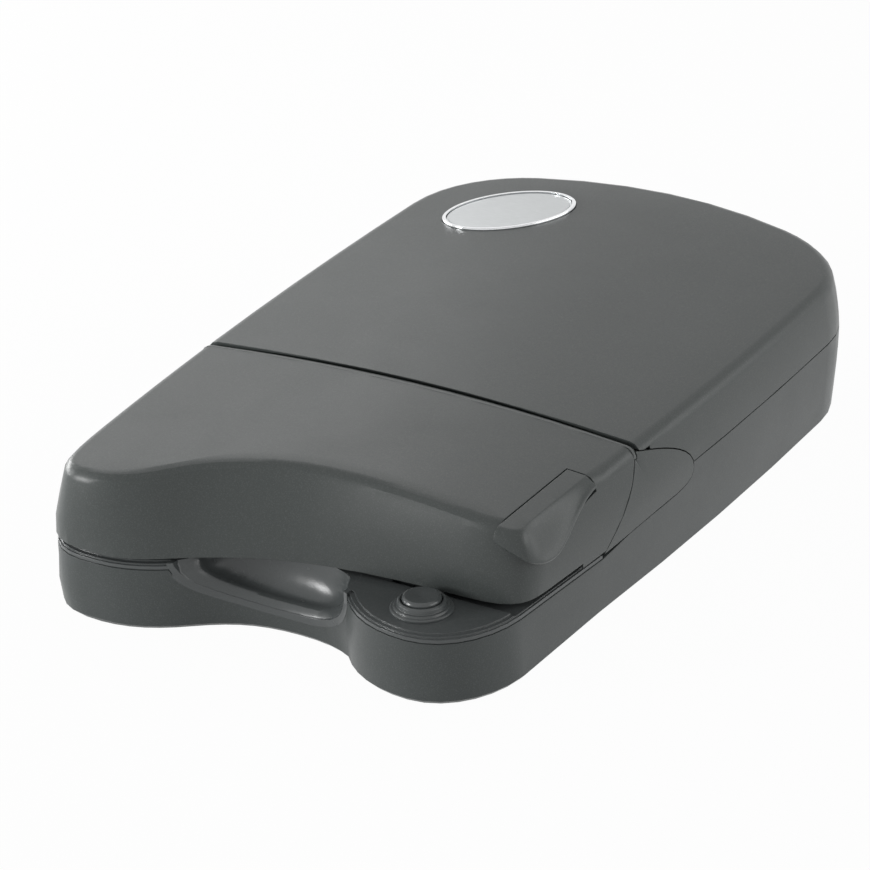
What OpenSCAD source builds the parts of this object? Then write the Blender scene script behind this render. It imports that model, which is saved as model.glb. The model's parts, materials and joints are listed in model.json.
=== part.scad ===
// Film negative scanner: a low, crowned desktop housing with a hinged front lid over the film
// gate, a finger scoop and a scan button in front, and a driven optical sled inside.
// Millimetres, +Z up, the front looks towards -Y. Heights are measured from the underside of
// the lower housing, and placed() lifts every node by the height of the rubber feet.

/* [Body] */
// Width at the widest level
body_w = 169; // [165:1:173]
// Length from the front of the left lobe to the rear bow
body_l = 277; // [273:1:283]
// Height of the lower housing's rear edge, where the upper cover meets it
seam_z = 29.7; // [28.5:0.1:31]
// Height of the top face at its side edges
side_top = 48.6; // [47.5:0.1:51]
// Rise of the crowned top from its side edges to the middle
crown = 4.1; // [3:0.1:5.5]
// Radius along the edge of the top
top_r = 4; // [3:0.1:5]
// Draw-in of the walls from the seam to the top
top_draft = 1.7; // [1:0.1:2.2]
// Draw-in of the walls from the seam to the underside
low_draft = 2.6; // [1.5:0.1:3.2]
// Draw-in of each side, 125 mm away from the widest station
side_bow = 4.7; // [3:0.1:6]
// Station along the length where the body is widest
bow_y = 26; // [15:1:35]
// Bow of the rear wall, from the middle to 50 mm off it
rear_bow = 7; // [5:0.1:9]
// Length of a rear corner along the side
corner_l = 46; // [40:1:52]
// Width of a rear corner along the rear wall
corner_w = 34.5; // [30:0.5:38]
// Wall thickness of the moulded housings
wall = 2.2; // [1.8:0.1:2.6]
// Visible gap between neighbouring covers
gap = 0.4; // [0.3:0.05:0.6]

/* [Front outline] */
// Distance of the left lobe's foremost point from the middle
lobe_x = 57; // [52:1:62]
// How far the hollow middle of the front lies behind the left lobe
front_dip = 22; // [18:0.5:25]
// How far the right lobe lies behind the left lobe
right_back = 3.6; // [1:0.1:6]
// Distance of the right lobe's foremost point from the middle
right_lobe_x = 54; // [50:1:58]
// How far the lid's straight right stretch lies behind the left lobe
lid_back = 30; // [27:0.5:33]
// Extra lean of the lid's hollow front face towards the top
lid_lean = 6; // [3:0.5:8]

/* [Deck] */
// Height of the lower housing's front rim
rim_z = 20; // [18.5:0.1:21]
// Height of the deck plate
deck_z = 22.5; // [21.8:0.1:23.3]
// Height of one step of the deck's edge
deck_step = 1.1; // [0.8:0.1:1.3]
// Thickness of the deck plate
deck_t = 2; // [1.6:0.1:2.4]
// Reach of the finger scoop to the left of the middle
scoop_left = 33.5; // [30:0.5:36]
// Reach of the finger scoop to the right of the middle
scoop_right = 23.5; // [20:0.5:25]
// Depth of the finger scoop under the lid's lower edge
scoop_d = 17; // [14:0.5:17.5]
// Wall thickness of the finger scoop
scoop_t = 1.8; // [1.5:0.1:2]
// Width of the film strip that the track takes
film_w = 35; // [35:1:36]
// Depth of the film track in the deck plate
track_d = 0.9; // [0.6:0.1:1]
// Play of the film strip in its track
film_play = 0.6; // [0.4:0.1:1]
// Length of the film gate's window
gate_l = 38; // [36:1:39]
// Width of the film gate's window
gate_w = 26; // [24:1:28]

/* [Lid] */
// Height of the lid's lower edge
lid_z = 24; // [23.6:0.1:25]
// Height of the lid's hinge axis
axis_z = 45; // [44:0.1:46]
// Station of the seam between lid and upper cover
seam_y = -35.4; // [-38:0.1:-33]
// Distance of the hinge axis in front of the seam
axis_back = 3.9; // [3.5:0.1:4.4]
// Run of the lid's slanted rear edge, from the axis to the lower edge
slant = 17.5; // [15:0.5:20]
// Bulge of that slanted edge
slant_bulge = 2.5; // [1:0.1:3.5]
// Diameter of a hinge pin
hinge_pin_d = 3; // [2.5:0.1:3.2]
// Distance of each hinge knuckle from the middle
knuckle_x = 62; // [56:1:66]
// Width of a hinge knuckle
knuckle_w = 6; // [5:0.5:7]
// Angle by which the lid opens
lid_open = 50; // [40:1:52]

/* [Button] */
// Distance of the button from the middle
button_x = 50.5; // [49:0.5:52]
// Station of the button
button_y = -118; // [-119:0.5:-116.5]
// Diameter of the pressed cap
cap_d = 12.4; // [11:0.2:13]
// Outer diameter of the button's bezel
bezel_d = 20; // [19:0.5:21]
// Height of the bezel above the deck plate
bezel_h = 3.4; // [2.5:0.1:4]
// Travel of the button
button_travel = 1; // [0.6:0.1:1.2]

/* [Badge] */
// Long diameter of the badge
badge_l = 47.5; // [45:0.5:50]
// Short diameter of the badge
badge_s = 31.6; // [29:0.2:33]
// Place of the badge across the body
badge_x = -42.5; // [-44:0.5:-40]
// Place of the badge along the body
badge_y = 95.8; // [93:0.2:97]

/* [Drive] */
// Module of the gears
gear_m = 0.8; // [0.75:0.05:0.85]
// Teeth of the motor's pinion
motor_teeth = 12; // [12:1:14]
// Teeth of the large drive gear
wheel_teeth = 40; // [38:2:42]
// Teeth of the small pinion that moves the rack
rack_teeth = 15; // [14:1:16]
// Travel of the optical sled
sled_travel = 26; // [24:0.5:28]
// Diameter of a guide rod
rod_d = 4; // [3.5:0.1:4.5]
// Running play of a shaft in its bore, on the diameter
run_play = 0.12; // [0.1:0.02:0.16]
// Thickness of the drive gear's wheel
wheel_t = 3.4; // [3:0.1:4]

/* [Ports] */
// Width of the recessed port panel
panel_w = 84; // [78:1:90]
// Height of the recessed port panel
panel_h = 17; // [15:0.5:18]
// Distance of the port panel in front of the rear bow
panel_in = 12; // [10:0.5:14]

/* [Feet] */
// Diameter of a rubber foot
foot_d = 14; // [12:0.5:16]
// Height that the feet lift the housing
foot_h = 1.2; // [0.8:0.1:2]

/* [Hinge caps] */
// Station of a cap's rounded rear nose
nose_y = -5; // [-8:0.5:-2]
// Height of that nose
nose_z = 28; // [27:0.1:28.5]
// Height of a cap's lower edge behind the lid
cap_low_z = 23; // [22.5:0.1:24]

/* [Lever] */
// Distance of the lever's straight inner edge from the middle
lever_x = 70.5; // [69:0.5:72]
// Width of the lever's flat strip beside the slanted face
lever_flat = 6.5; // [5:0.5:7]
// Length of the lever along the lid's edge
lever_l = 46; // [42:1:48]
// How far the lip stands out from the lid's side
lip_out = 2.6; // [1.5:0.1:3]
// How far the lip's lowest point lies below the lid's top edge
lip_drop = 12; // [9:0.5:13]
// Thickness of the lever
lever_t = 2; // [1.6:0.1:2.2]
// Diameter of the lever's pivot pin
lever_pin_d = 1.6; // [1.4:0.1:1.8]

/* [Hidden] */

dark = [0.24, 0.26, 0.25];
deep = [0.16, 0.17, 0.17];
eps = 0.01;
far = 400;
front_y = -body_l/2;
rear_end = body_l/2;
lid_front = front_y + lid_back;
axis_y = seam_y - axis_back;
left_corner_y = front_y + 34.5;
right_corner_y = lid_front + 15.5;
lobe_corner_y = front_y + 32.5;
rear_corner_y = rear_end - corner_l;
rear_corner_x = body_w/2 - corner_w;
track_w = film_w + film_play;
gate_y = lid_front + 0.6 + track_w/2;
gate_x = -50;
skirt_z = deck_z - 0.5;
play = 0.2;

// Outline of the body, seen from above
function side_x(y) = body_w/2 - side_bow*pow((y - bow_y)/125, 2);
function side_lean(y) = atan(2*side_bow*(y - bow_y)/125/125);
function rear_y(x) = rear_end - rear_bow*pow(x/50, 2);
function rear_lean(x) = atan(2*rear_bow*x/2500);
function bez(a, b, c, d, t) =
    a*pow(1 - t, 3) + 3*b*t*pow(1 - t, 2) + 3*c*t*t*(1 - t) + d*pow(t, 3);
function dir(a) = [cos(a), sin(a)];
// Smooth curve from p to q with the angles and reaches of its ends, without p itself
function curve(p, p_a, p_r, q, q_a, q_r, n) =
    [for (i = [1:n]) bez(p, p + p_r*dir(p_a), q - q_r*dir(q_a), q, i/n)];
function along(a, b, n) = [for (i = [0:n]) a + (b - a)*i/n];

// Heights of the crowned top and lean of the walls
function top_z(x) = side_top + crown*(1 - pow(2*x/body_w, 2));
function wall_in(z) = z < seam_z ? low_draft*pow((seam_z - z)/seam_z, 1.5)
    : top_draft*pow((z - seam_z)/(side_top - top_r - seam_z), 2);

// Each point of an open curve, moved to its left by d
function inset(c, d) = [for (i = [0:len(c) - 1])
    let (a = c[max(i - 1, 0)], b = c[min(i + 1, len(c) - 1)], t = (b - a)/norm(b - a))
        c[i] + d*[-t.y, t.x]];
// The same for a closed outline
function inset_loop(c, d) = let (n = len(c)) [for (i = [0:n - 1])
    let (a = c[(i + n - 1) % n], b = c[(i + 1) % n], t = (b - a)/norm(b - a))
        c[i] + d*[-t.y, t.x]];

// Plan curve of the lid, from its left rear end round the front; m runs from 0 low to 1 high
function lid_curve(m) = let (
        lobe = [-lobe_x - 2*m, front_y],
        turn = [-31 - 3*m, front_y + 9.6 + 0.6*lid_lean*m],
        dip = [13 - 5*m, lid_front - 3.3 + 0.9*lid_lean*m],
        flat_end = [60 - 3*m, lid_front + 0.3*lid_lean*m],
        left_end = [-side_x(left_corner_y), left_corner_y],
        right_end = [side_x(right_corner_y), right_corner_y])
    concat([for (y = along(axis_y, left_corner_y, 4)) [-side_x(y), y]],
        curve(left_end, -90 - side_lean(left_corner_y), 26, lobe, 0, 17, 8),
        curve(lobe, 0, 12, turn, 33 + 17*m, 9, 5),
        curve(turn, 33 + 17*m, 12, dip, 9 - 4*m, 18, 6),
        curve(dip, 9 - 4*m, 16, flat_end, -3*m, 16, 4),
        curve(flat_end, -3*m, 17, right_end, 90 + side_lean(right_corner_y), 11, 7),
        [for (y = along(right_corner_y, axis_y, 3)) if (y > right_corner_y) [side_x(y), y]]);

// Plan curve of a rear corner on the right, and of the rear wall between the corners
function rear_corner() = curve([side_x(rear_corner_y), rear_corner_y],
    90 + side_lean(rear_corner_y), 22, [rear_corner_x, rear_y(rear_corner_x)],
    180 - rear_lean(rear_corner_x), 17, 8);
function mirrored(c) = [for (i = [len(c) - 1:-1:0]) [-c[i].x, c[i].y]];
// Right half of the cover's plan curve, from the seam to the middle of the rear
function cover_half() = concat([for (y = along(seam_y, rear_corner_y, 5)) [side_x(y), y]],
    rear_corner(), [for (x = along(rear_corner_x, 0, 3)) if (x < rear_corner_x) [x, rear_y(x)]]);
function cover_curve() = let (h = cover_half(), m = mirrored(h))
    concat(h, [for (i = [1:len(m) - 1]) m[i]]);

// Closed plan outline of the lower housing
function base_outline() = let (
        lobe = [-lobe_x, front_y],
        turn = [-29, front_y + front_dip/2],
        dip = [3, front_y + front_dip],
        notch = [25, front_y + front_dip - 5],
        right_lobe = [right_lobe_x, front_y + right_back],
        right_end = [side_x(lobe_corner_y), lobe_corner_y],
        left_end = [-side_x(left_corner_y), left_corner_y],
        half = concat([for (y = along(-60, rear_corner_y, 4)) [side_x(y), y]], rear_corner()),
        rear = [for (x = along(rear_corner_x, -rear_corner_x, 6))
            if (abs(x) < rear_corner_x - 1) [x, rear_y(x)]])
    concat([right_end], half, rear, mirrored(half), [left_end],
        curve(left_end, -90 - side_lean(left_corner_y), 26, lobe, 0, 17, 8),
        curve(lobe, 0, 11, turn, 38, 11, 6),
        curve(turn, 38, 13, dip, 0, 14, 7),
        curve(dip, 0, 9, notch, -30, 7, 4),
        curve(notch, -50, 11, right_lobe, 0, 12, 6),
        [for (p = curve(right_lobe, 0, 14, right_end, 90 + side_lean(lobe_corner_y), 16, 7))
            if (p.y < right_end.y - eps) p]);

// Rings of equal length joined by a skin, closed by a fan at each end
module skin(rings, first, last, flip = false) {
    n = len(rings[0]);
    m = len(rings);
    points = concat([for (r = rings) each r], [first, last]);
    sides = [for (j = [0:m - 2]) for (i = [0:n - 1])
        let (a = j*n + i, b = j*n + (i + 1) % n, c = a + n, d = b + n) each [[c, a, b], [c, b, d]]];
    caps = [for (i = [0:n - 1]) let (k = (i + 1) % n) each
        [[m*n, k, i], [m*n + 1, (m - 1)*n + i, (m - 1)*n + k]]];
    faces = concat(sides, caps);
    polyhedron(points, flip ? [for (f = faces) [f[2], f[1], f[0]]] : faces, convexity = 8);
}

// One ring of the crowned upper form: q runs up the wall, a round the top edge, t goes inwards
function form_ring(low, high, chord_y, z0, q, a, t) = let (
        r = top_r - t*0.55,
        n = len(low),
        plan = [for (i = [0:n - 1]) low[i]*(1 - q) + high[i]*q],
        lean = [for (p = plan) wall_in(z0 + q*(top_z(p.x) - top_r - z0))],
        moved = [for (i = [0:n - 1]) inset(plan, t + lean[i] + r*(1 - cos(a)))[i]],
        rise = t + r - r*sin(a),
        edge = [for (i = [0:n - 1]) let (p = moved[i]) [p.x, i > 0 && i < n - 1 ? p.y : chord_y,
            q < 1 ? z0 + q*(top_z(p.x) - t - r - z0) : top_z(p.x) - rise]],
        xa = edge[n - 1].x,
        xb = edge[0].x,
        chord = [for (i = [1:7]) let (x = xa + (xb - xa)*i/8)
            [x, chord_y, q < 1 ? z0 + q*(top_z(x) - t - r - z0) : top_z(x) - rise]])
    concat(edge, chord);
// Rings of the top face, drawn in towards its middle
function top_ring(ring, mid, s, t) = [for (p = ring)
    let (x = mid.x + (p.x - mid.x)*s, y = mid.y + (p.y - mid.y)*s) [x, y, top_z(x) - t]];

// Open-bottomed moulded shell with the crowned top
module crowned_shell(low, high, chord_y, chord_in, z0, mid) {
    walls = [0, 0.35, 0.7, 1];
    bends = [30, 60, 90];
    outer = concat([for (q = walls) form_ring(low, high, chord_y, z0, q, 0, 0)],
        [for (a = bends) form_ring(low, high, chord_y, z0, 1, a, 0)]);
    inner = concat([for (q = [0, 1]) form_ring(low, high, chord_in, z0, q, 0, wall)],
        [for (a = [45, 90]) form_ring(low, high, chord_in, z0, 1, a, wall)]);
    outer_top = [for (s = [0.8, 0.5, 0.22]) top_ring(outer[len(outer) - 1], mid, s, 0)];
    inner_top = [for (s = [0.7, 0.3]) top_ring(inner[len(inner) - 1], mid, s, wall)];
    down = concat(outer, outer_top);
    skin(concat([for (i = [len(down) - 1:-1:0]) down[i]], inner, inner_top),
        [mid.x, mid.y, top_z(mid.x)], [mid.x, mid.y, top_z(mid.x) - wall]);
}

// The lid's slanted rear edge and the outline of a hinge cap, seen from the side
function lid_rear_y(z) = let (u = (axis_z - z)/(axis_z - lid_z))
    axis_y - slant*u + slant_bulge*4*u*(1 - u);
function lid_rear(z0, z1, n, d) = [for (z = along(z0, z1, n)) [lid_rear_y(z) + d, z]];
cap_top = [axis_y + gap, axis_z + 2.6];
cap_nose = [nose_y, nose_z];
cap_turn = [nose_y - 15, cap_low_z];
cap_foot_z = cap_low_z - 1.4;
function cap_upper() = concat([cap_top], curve(cap_top, -18, 13, cap_nose, -90, 9, 10));
function cap_lower() = concat(curve(cap_nose, -90, 4, cap_turn, 180, 10, 6),
    curve(cap_turn, 180, 10, [lid_rear_y(cap_foot_z) + gap, cap_foot_z], 182, 12, 4));
function cap_outline() = concat(cap_upper(), cap_lower(),
    lid_rear(cap_foot_z + 2, axis_z, 6, gap));

// Extrudes an outline given in Y and Z across the body, from x0 to x1
module across(x0, x1) {
    translate([x0, 0, 0]) rotate([90, 0, 90]) linear_extrude(x1 - x0) children();
}
// Extrudes an outline given in X and Z towards the rear, from y0 to y1
module towards_rear(y0, y1) {
    translate([0, y1, 0]) rotate([90, 0, 0]) linear_extrude(y1 - y0) children();
}
module block(x0, x1, y0, y1, z0, z1) {
    translate([x0, y0, z0]) cube([x1 - x0, y1 - y0, z1 - z0]);
}
module post(x, y, z0, z1, d) {
    translate([x, y, z0]) cylinder(d = d, h = z1 - z0, $fn = 48);
}
module placed() {
    translate([0, 0, foot_h]) children();
}

// Profile of the finger scoop in X and Z, grown by t
function scoop_profile(t) = let (rl = scoop_left + t, rr = scoop_right + t, d = scoop_d + t)
    concat([for (i = [0:10]) let (a = 180 + 9*i) [rl*cos(a), lid_z + d*sin(a)]],
        [for (i = [1:10]) let (a = 9*i, c = pow(sin(a), 2/3), s = pow(cos(a), 2/3))
            [rr*c, lid_z - d*s]]);
module scoop_body(t) {
    reach = 13 + t;
    mid = lid_front - 2;
    plan = concat([[front_y - 10, 1]], [for (b = [0, 25, 45, 62, 76]) [mid + reach*sin(b), cos(b)]]);
    rings = [for (s = plan) [for (p = scoop_profile(t))
        [p.x*s[1], s[0], lid_z + (p.y - lid_z)*s[1]]]];
    skin(rings, [0, front_y - 10, lid_z - 1], [0, mid + reach, lid_z - 0.3]);
}

// Screws: the ones that hold the cover, then the ones that hold the deck
screw_d = 3;
head_d = 5.6;
head_h = 2;
head_z = 10;
cover_screws = [[-66, 66], [66, 66], [66, -8], [-40, 108], [40, 108]];
deck_screws = [[62, -84], [6, -82], [-71.5, -109.8]];
cover_seat = 20;
deck_seat = 15;
post_d = 8;

function base_ring(z, t) = [for (p = inset_loop(base_outline(), t + wall_in(z))) [p.x, p.y, z]];
module base_solid(z0, z1, t) {
    skin([for (z = along(z0, z1, 3)) base_ring(z, t)], [0, 0, z0], [0, 0, z1], true);
}
// Inner edge of the ports' recess, along the bowed rear wall
function bowed(x0, x1, d) = [for (x = along(x1, x0, 8)) [x, rear_y(x) - d]];
panel_y = rear_end - panel_in;
panel_z = 14.5;
panel_t = 2;

module base_shell() {
    bottom_r = 1.2;
    rise = [8, 16, 23, seam_z];
    ring_list = concat([base_ring(0, bottom_r), base_ring(bottom_r, 0)],
        [for (z = rise) base_ring(z, 0)],
        [base_ring(seam_z, wall), base_ring(12, wall), base_ring(wall, wall + 0.5)]);
    color(dark) difference() {
        union() {
            skin(ring_list, [0, 0, 0], [0, 0, wall], true);
            for (s = cover_screws) post(s.x, s.y, wall - 1, cover_seat, post_d);
            for (s = deck_screws) post(s.x, s.y, wall - 1, deck_seat, post_d);
            for (p = board_posts) post(p.x, p.y, wall - 1, board_z, 6);
            post(wheel_x, drive_y, wall - 1, 6, 8);
            port_recess();
        }
        across(-body_w, body_w) union() {
            polygon([[front_y - 10, rim_z], [lid_rear_y(cap_foot_z), rim_z],
                [nose_y - 12, cap_low_z + 2], [nose_y - 12, seam_z + 5], [front_y - 10, seam_z + 5]]);
            offset(delta = gap) polygon(cap_outline());
        }
        intersection() {
            towards_rear(front_y - 5, lid_front) polygon(scoop_profile(scoop_t + play));
            block(-body_w, body_w, front_y - 6, lid_front - 1, 0, seam_z);
        }
        for (s = concat(cover_screws, deck_screws)) {
            post(s.x, s.y, -1, seam_z, screw_d + 0.4);
            post(s.x, s.y, -1, head_z, head_d + 0.8);
        }
        post(wheel_x, drive_y, wall, 10, axle_d);
        block(-panel_w/2, panel_w/2, panel_y - 5, rear_end + 5, panel_z - panel_h/2,
            panel_z + panel_h/2);
    }
}
module port_recess() {
    w = panel_w/2 + wall;
    h = panel_h/2 + wall;
    front = panel_y - panel_t;
    for (z = [panel_z - h, panel_z + panel_h/2])
        translate([0, 0, z]) linear_extrude(wall)
            polygon(concat([[-w, front], [w, front]], bowed(-w, w, 1.6 + low_draft*0.6)));
    for (x = [-w, panel_w/2])
        translate([0, 0, panel_z - h]) linear_extrude(2*h)
            polygon(concat([[x, front], [x + wall, front]],
                bowed(x, x + wall, 1.6 + low_draft*0.6)));
}

// Deck between the lobes: film track, finger scoop, button seat and the wall behind the lid
deck_in = wall + 2*gap;
module deck_layer(z0, z1, d) {
    intersection() {
        translate([0, 0, z0]) linear_extrude(z1 - z0) polygon(inset_loop(base_outline(), d));
        block(-body_w, body_w, front_y - 5, lid_rear_y(cap_foot_z) - gap, z0 - 1, z1 + 1);
    }
}
glass_t = 1.5;
glass_edge = 2;
module gate_hole(grow, z0, z1) {
    block(gate_x - gate_l/2 - grow, gate_x + gate_l/2 + grow, gate_y - gate_w/2 - grow,
        gate_y + gate_w/2 + grow, z0, z1);
}
track_z = deck_z - track_d;
glass_z = track_z - 0.3 - glass_t;
bulk_d = gap + 0.3;
bulk_t = 1.8;
bulk_top = axis_z - crown - 4.2;
bulk_w = side_x(axis_y) - wall - 3.6;
module front_deck() {
    color(deep) difference() {
        union() {
            deck_layer(deck_z - deck_t, deck_z, deck_in);
            deck_layer(rim_z + play, deck_z - deck_step, 0.7);
            deck_layer(rim_z + play, deck_z - deck_step/2, 1.5);
            intersection() {
                scoop_body(scoop_t);
                base_solid(3, deck_z, 0.1);
                block(-body_w, body_w, front_y - 5, lid_front + 20, 3, deck_z);
            }
            gate_hole(glass_edge + 2, glass_z - 1.2, deck_z - deck_t + eps);
            across(-bulk_w, bulk_w) polygon(concat(lid_rear(deck_z - deck_t, bulk_top, 6, bulk_d),
                [for (p = lid_rear(bulk_top, deck_z - deck_t, 6, bulk_d + bulk_t)) p]));
            block(-bulk_w, bulk_w, lid_rear_y(deck_z) - 3, lid_rear_y(deck_z - deck_t) + bulk_d + 1,
                deck_z - deck_t, deck_z);
            for (s = deck_screws) post(s.x, s.y, deck_seat + play, deck_z - deck_t + 1, post_d);
            for (y = [-6, 6]) post(button_x + 6.5, button_y + y, switch_z, deck_z - 1, 3);
            post(button_x, button_y, deck_z - deck_t - 2.5, deck_z - 1, 9);
        }
        scoop_body(0);
        block(-body_w, body_w, gate_y - track_w/2, gate_y + track_w/2, track_z, deck_z + 5);
        gate_hole(glass_edge + play, glass_z, deck_z);
        gate_hole(0, glass_z - 5, deck_z);
        block(slot_x0, slot_x1, hook_y - hook_w/2 - 2.4, hook_y + hook_w/2 + 0.4, 0, deck_z + 1);
        for (s = deck_screws) post(s.x, s.y, 0, deck_z - deck_t + 0.3, screw_d);
        post(button_x, button_y, 0, deck_z + 1, stem_d + run_play);
    }
}
module gate_glass() {
    color([0.6, 0.7, 0.72]) gate_hole(glass_edge, glass_z, glass_z + glass_t);
}

// Upper cover: crowned shell cut by the lid's barrel and the hinge caps
barrel_gap = 0.35;
function barrel_r(x, d) = let (xf = side_x(axis_y) - top_draft - top_r, ax = abs(x))
    d + top_z(min(ax, xf)) - axis_z - (ax < xf ? 0 : top_r - sqrt(max(0, pow(top_r, 2) - pow(ax - xf, 2))));
module barrel(d) {
    end = side_x(axis_y) - top_draft - 0.3;
    half = concat([for (x = along(0, end - 5, 6)) x], [end - 3.5, end - 2, end - 1, end]);
    stations = concat([for (i = [len(half) - 1:-1:1]) -half[i]], half);
    profile = concat([[0, -end]], [for (x = stations) [max(0.05, barrel_r(x, d)), x]], [[0, end]]);
    translate([0, axis_y, axis_z]) rotate([0, 90, 0]) rotate_extrude($fn = 64) polygon(profile);
}
lug_r = hinge_pin_d/2 + 2;
pin_l = knuckle_w + 12;
boss_l = pin_l/2 + 1;
// The lid's rounded rear edge, hollow, with a boss for each hinge pin
module lid_barrel() {
    color(dark) difference() {
        union() {
            difference() {
                barrel(0);
                barrel(-wall);
                block(-body_w, body_w, axis_y - 30, axis_y + 30, axis_z - 30, axis_z);
                block(-body_w, body_w, axis_y - 30, axis_y, axis_z - 30, axis_z + 30);
            }
            for (s = [-1, 1]) {
                translate([s*knuckle_x - boss_l, axis_y, axis_z]) rotate([0, 90, 0])
                    cylinder(r = lug_r, h = 2*boss_l, $fn = 48);
                block(s*knuckle_x - boss_l, s*knuckle_x + boss_l, axis_y, axis_y + 2.4, axis_z,
                    top_z(knuckle_x) - 1.4);
            }
        }
        for (s = [-1, 1]) {
            knuckle_space(s);
            translate([s*knuckle_x - pin_l/2, axis_y, axis_z]) rotate([0, 90, 0])
                cylinder(d = hinge_pin_d + run_play, h = pin_l, $fn = 48);
        }
    }
}
// Room for a bracket's knuckle in the lid, over the whole swing
module knuckle_space(s) {
    half = knuckle_w/2 + gap;
    translate([s*knuckle_x - half, axis_y, axis_z]) rotate([0, 90, 0])
        cylinder(r = lug_r + gap, h = 2*half, $fn = 48);
    block(s*knuckle_x - half, s*knuckle_x + half, axis_y - lug_r - gap, axis_y + 12, axis_z - 14, axis_z);
}
// Space that the lid's top needs when the lid stands open
module lid_swing(d) {
    end = side_x(axis_y) - top_draft;
    half = concat([for (x = along(0, end - 5, 6)) x], [end - 3.5, end - 2, end - 1, end]);
    stations = concat([for (i = [len(half) - 1:-1:1]) -half[i]], half);
    profile = concat([for (x = stations) [x, max(0.4, barrel_r(x, d))]], [[end, -0.5], [-end, -0.5]]);
    translate([0, axis_y, axis_z]) rotate([-lid_open, 0, 0]) towards_rear(-30, 0) polygon(profile);
}
badge_slope = atan(-8*crown*badge_x/pow(body_w, 2));
badge_turn = 45;
module on_badge(dz) {
    translate([badge_x, badge_y, top_z(badge_x) + dz]) rotate([0, -badge_slope, 0])
        rotate([0, 0, badge_turn]) children();
}
module oval(l, s, h) {
    scale([1, s/l, 1]) cylinder(d = l, h = h, $fn = 96);
}
badge_rim = 1.3;
badge_seat = 1;
module upper_cover() {
    low = cover_curve();
    color(dark) difference() {
        union() {
            crowned_shell(low, low, seam_y, seam_y + wall, seam_z + play, [0, 52]);
            for (s = cover_screws) post(s.x, s.y, cover_seat + play, top_z(s.x) - 1.2, post_d - 1);
        }
        across(-body_w, body_w) union() {
            polygon([[seam_y - 5, seam_z - 5], [nose_y - 12, seam_z - 5], [nose_y - 12, cap_low_z + 12],
                [seam_y + 6, axis_z - 3], [seam_y + 6, axis_z + 1], [seam_y - 5, axis_z + 1]]);
            offset(delta = gap) polygon(cap_outline());
        }
        barrel(barrel_gap);
        lid_swing(barrel_gap);
        for (s = cover_screws) post(s.x, s.y, 0, 40, screw_d);
        on_badge(-badge_seat) oval(badge_l + 2*play, badge_s + 2*play, 5);
    }
}
module badge_ring() {
    color([0.75, 0.76, 0.78]) on_badge(-badge_seat) difference() {
        union() {
            oval(badge_l, badge_s, badge_seat + 0.4);
            oval(badge_l - 0.8, badge_s - 0.8, badge_seat + 0.7);
        }
        translate([0, 0, -1]) oval(badge_l - 2*badge_rim, badge_s - 2*badge_rim, 5);
    }
}
module badge_plate() {
    inner = 2*badge_rim + 2*play;
    color([0.82, 0.82, 0.83]) on_badge(-badge_seat) {
        oval(badge_l - inner, badge_s - inner, badge_seat + 0.1);
        oval(badge_l - inner - 1, badge_s - inner - 1, badge_seat + 0.35);
    }
}

// Lid: crowned shell with the hinge barrel along its rear edge
lid_in = wall + 0.95;
panel_bottom = lid_z + 0.6;
under_t = 2;
module lid_solid(z0, z1, d) {
    translate([0, 0, z0]) linear_extrude(z1 - z0) polygon(inset(lid_curve(0.2), d));
}
module lid_shell() {
    color(dark) difference() {
        crowned_shell(lid_curve(0), lid_curve(1), axis_y, axis_y - wall, skirt_z + gap,
            [0, lid_front + 34]);
        // Slanted rear edge, and the raised edge over the deck's front
        across(-body_w, body_w) polygon(concat(lid_rear(skirt_z - 5, axis_z, 6, 0),
            [[axis_y + 10, axis_z], [axis_y + 10, skirt_z - 5]]));
        across(-body_w, body_w) polygon([[front_y - 5, 0], [gate_y + track_w/2 + 1, 0],
            [gate_y + track_w/2, lid_z], [front_y - 5, lid_z]]);
        // Room for the hinge brackets' knuckles
        for (s = [-1, 1]) block(s*knuckle_x - boss_l - play, s*knuckle_x + boss_l + play,
            axis_y - lug_r - gap, axis_y + 1, axis_z - 14, axis_z + lug_r + gap);
        lever_recess();
    }
}
module lid_underside() {
    color([0.2, 0.2, 0.21]) difference() {
        union() {
            intersection() {
                lid_solid(panel_bottom, panel_bottom + under_t, lid_in);
                block(-body_w, body_w, front_y, lid_rear_y(panel_bottom), 0, axis_z);
            }
            across(-under_w, under_w) polygon(concat(
                lid_rear(panel_bottom, axis_z - 5, 6, 0),
                lid_rear(axis_z - 5, panel_bottom, 6, -under_t)));
            // Cheeks that carry the lever's pin
            for (y = [lever_pin_y, lever_pin_y + lever_pin_l - cheek_t])
                block(lever_x - 0.3, lever_x + 4.6, y, y + cheek_t, panel_bottom + 1, lever_z + 0.9);
        }
        block(lamp_x0, lamp_x1, gate_y - lamp_w/2, gate_y + lamp_w/2, 0, axis_z);
        translate([lever_pin_x, lever_pin_y, lever_z]) rotate([-90, 0, 0])
            cylinder(d = lever_pin_d, h = lever_pin_l, $fn = 32);
        block(lamp_x0 - 1.5, lamp_x1 + 1.5, gate_y - lamp_w/2 - 1.5, gate_y + lamp_w/2 + 1.5,
            panel_bottom + 1, axis_z - 10);
        block(slot_x0 - 0.4, slot_x1 + 0.3, hook_y - hook_w/2 - 0.8, hook_y + hook_w/2 + 0.8, 0, axis_z);
        for (s = [-1, 1]) knuckle_space(s);
    }
}
under_w = side_x(axis_y) - wall - 2.6;
lamp_w = gate_w + 6;
lamp_x0 = gate_x - gate_l/2 - 3;
lamp_x1 = gate_x + gate_l/2 + 3;
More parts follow.
